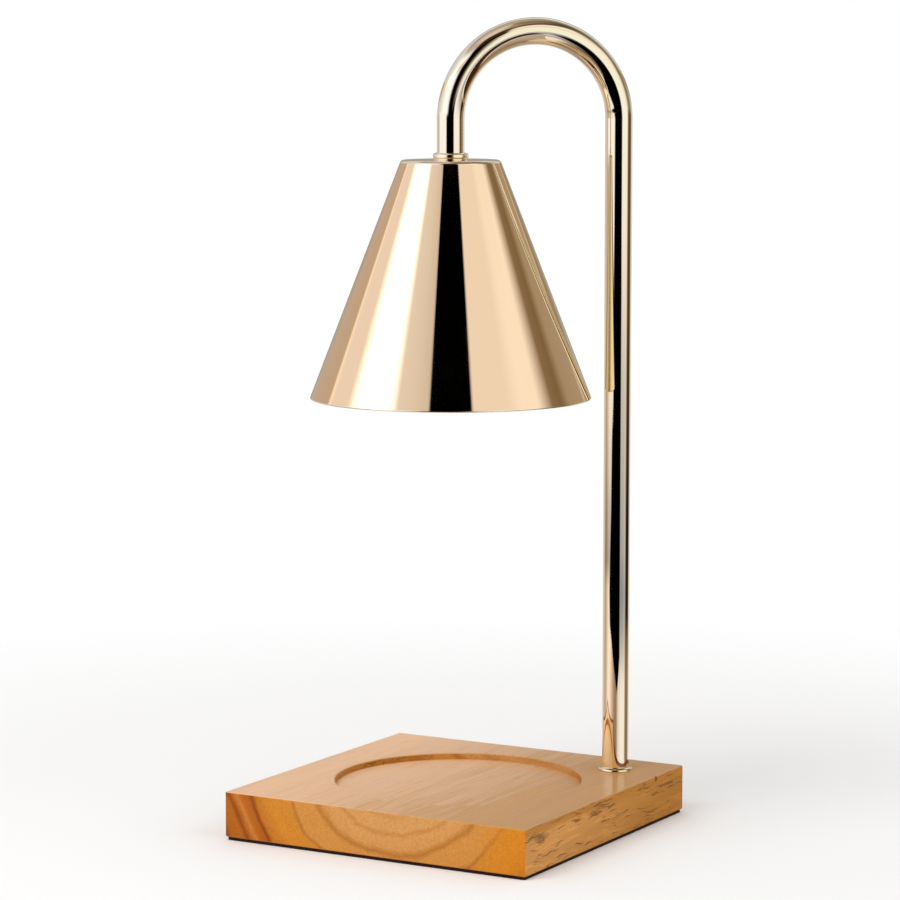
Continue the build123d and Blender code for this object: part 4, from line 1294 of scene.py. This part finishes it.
# %% The thread as a shader group
thread, given, result = shader_group("thread", {"Axis X": 0.0, "Axis Y": 0.0, "Pitch": 0.001}, ["Height"])
spot = apart(thread, object_place(thread))
spoke = add(thread, "ShaderNodeCombineXYZ", {
    "X": calc(thread, "SUBTRACT", spot["X"], given["Axis X"]),
    "Y": calc(thread, "SUBTRACT", spot["Y"], given["Axis Y"]),
})
spoke_end = {"Vector": spoke.outputs["Vector"]}
round_stem = add(thread, "ShaderNodeTexGradient", spoke_end, gradient_type="RADIAL").outputs["Fac"]
turns = calc(thread, "ADD", calc(thread, "DIVIDE", spot["Z"], given["Pitch"]), round_stem)
feed(thread, result["Height"], calc(thread, "PINGPONG", turns, 0.5))

# %% Threaded stems
thread_pitch = 1.0 * mm
thread_depth = 0.6 * mm
for node, axis in (("foot_nipple", post_axis), ("shade_nipple", shade_axis)):
    threaded, tree, surface = finish("threaded_" + node, (0.66, 0.67, 0.69), 1.0)
    clouded_roughness(tree, surface, grain_size=5200.0, cloud_size=420.0, roughness=(0.28, 0.46))
    cut = use_group(tree, thread, Axis_X=axis.x, Axis_Y=axis.y, Pitch=thread_pitch)
    bump(tree, surface, cut["Height"], thread_depth)
    dress_node(node, threaded)

# %% [markdown]
# ## The bulb
# The bowl is glass under a bright mirror layer, pressed into small facets that spread the
# light.  The facets are the cells of a Voronoi pattern, dished a little by a bump.  The
# front glass and the capsule are clear, with a faint ripple.

# %% Mirror bowl and clear glass
facets_per_metre = (380, 380, 260)
facet_unevenness = 0.35
facet_depth = 0.35 * mm
ripple_depth = 0.02 * mm
mirror, tree, surface = finish("reflector", (0.90, 0.90, 0.92), 1.0)
clouded_roughness(tree, surface, grain_size=900.0, cloud_size=120.0, roughness=(0.05, 0.10))
facets = add(tree, "ShaderNodeTexVoronoi", {
    "Vector": scaled(tree, object_place(tree), facets_per_metre),
    "Scale": 1.0,
    "Randomness": facet_unevenness,
}, feature="F1")
bump(tree, surface, facets.outputs["Distance"], facet_depth)
dress_node("bulb_reflector", mirror)

glass, tree, surface = finish("lens_glass", (0.96, 0.98, 0.98), IOR=1.47, Transmission_Weight=1.0)
ripple, _ = clouded_roughness(tree, surface, grain_size=160.0, cloud_size=60.0, roughness=(0.0, 0.04))
bump(tree, surface, ripple, ripple_depth)
dress_node("bulb_front_glass", glass)
dress_node("bulb_capsule", glass)

# %% [markdown]
# ### The coiled filament
# The wire comes down one leg, winds along a coil and goes up the other leg.  Its path is one
# line of points, and the tree that bent the tube carries a small circle along it.

# %% Wind the filament
mark_depth = 0.002 * mm
tungsten, tree, surface = finish("tungsten", (0.36, 0.35, 0.34), 1.0)
drawn_marks, _ = clouded_roughness(
    tree, surface, grain_size=9000.0, cloud_size=900.0, roughness=(0.32, 0.5),
)
bump(tree, surface, drawn_marks, mark_depth)
wire_radius = 0.2 * mm
wire_around = 10
coil_radius = 0.6 * mm
coil_length = 4.0 * mm
coil_turns = 6
turn_steps = 16
leg_spacing = 5.0 * mm
wire_low, wire_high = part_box("bulb_filament")
coil_height = wire_low.z + coil_radius + wire_radius


def on_hook_plane(along_hook, up, aside=0.0):
    """A point at a distance along the hook and aside from it, and at a height."""
    side = hook_direction.cross(Vector((0, 0, 1)))
    place = shade_axis + hook_direction * along_hook + side * aside
    return Vector((place.x, place.y, up))


wire_path = [on_hook_plane(-leg_spacing / 2, wire_high.z), on_hook_plane(-leg_spacing / 2, coil_height)]
coil_steps = coil_turns * turn_steps
for step in range(coil_steps + 1):
    angle = 2 * pi * step / turn_steps
    wire_path.append(on_hook_plane(
        (step / coil_steps - 0.5) * coil_length,
        coil_height - coil_radius * cos(angle),
        coil_radius * sin(angle),
    ))
wire_path.append(on_hook_plane(leg_spacing / 2, coil_height))
wire_path.append(on_hook_plane(leg_spacing / 2, wire_high.z))
swept(
    "coiled_filament", circle_points(wire_radius, wire_around), wire_path, False, tungsten,
    "bulb", ["bulb_filament"], caps=True,
)
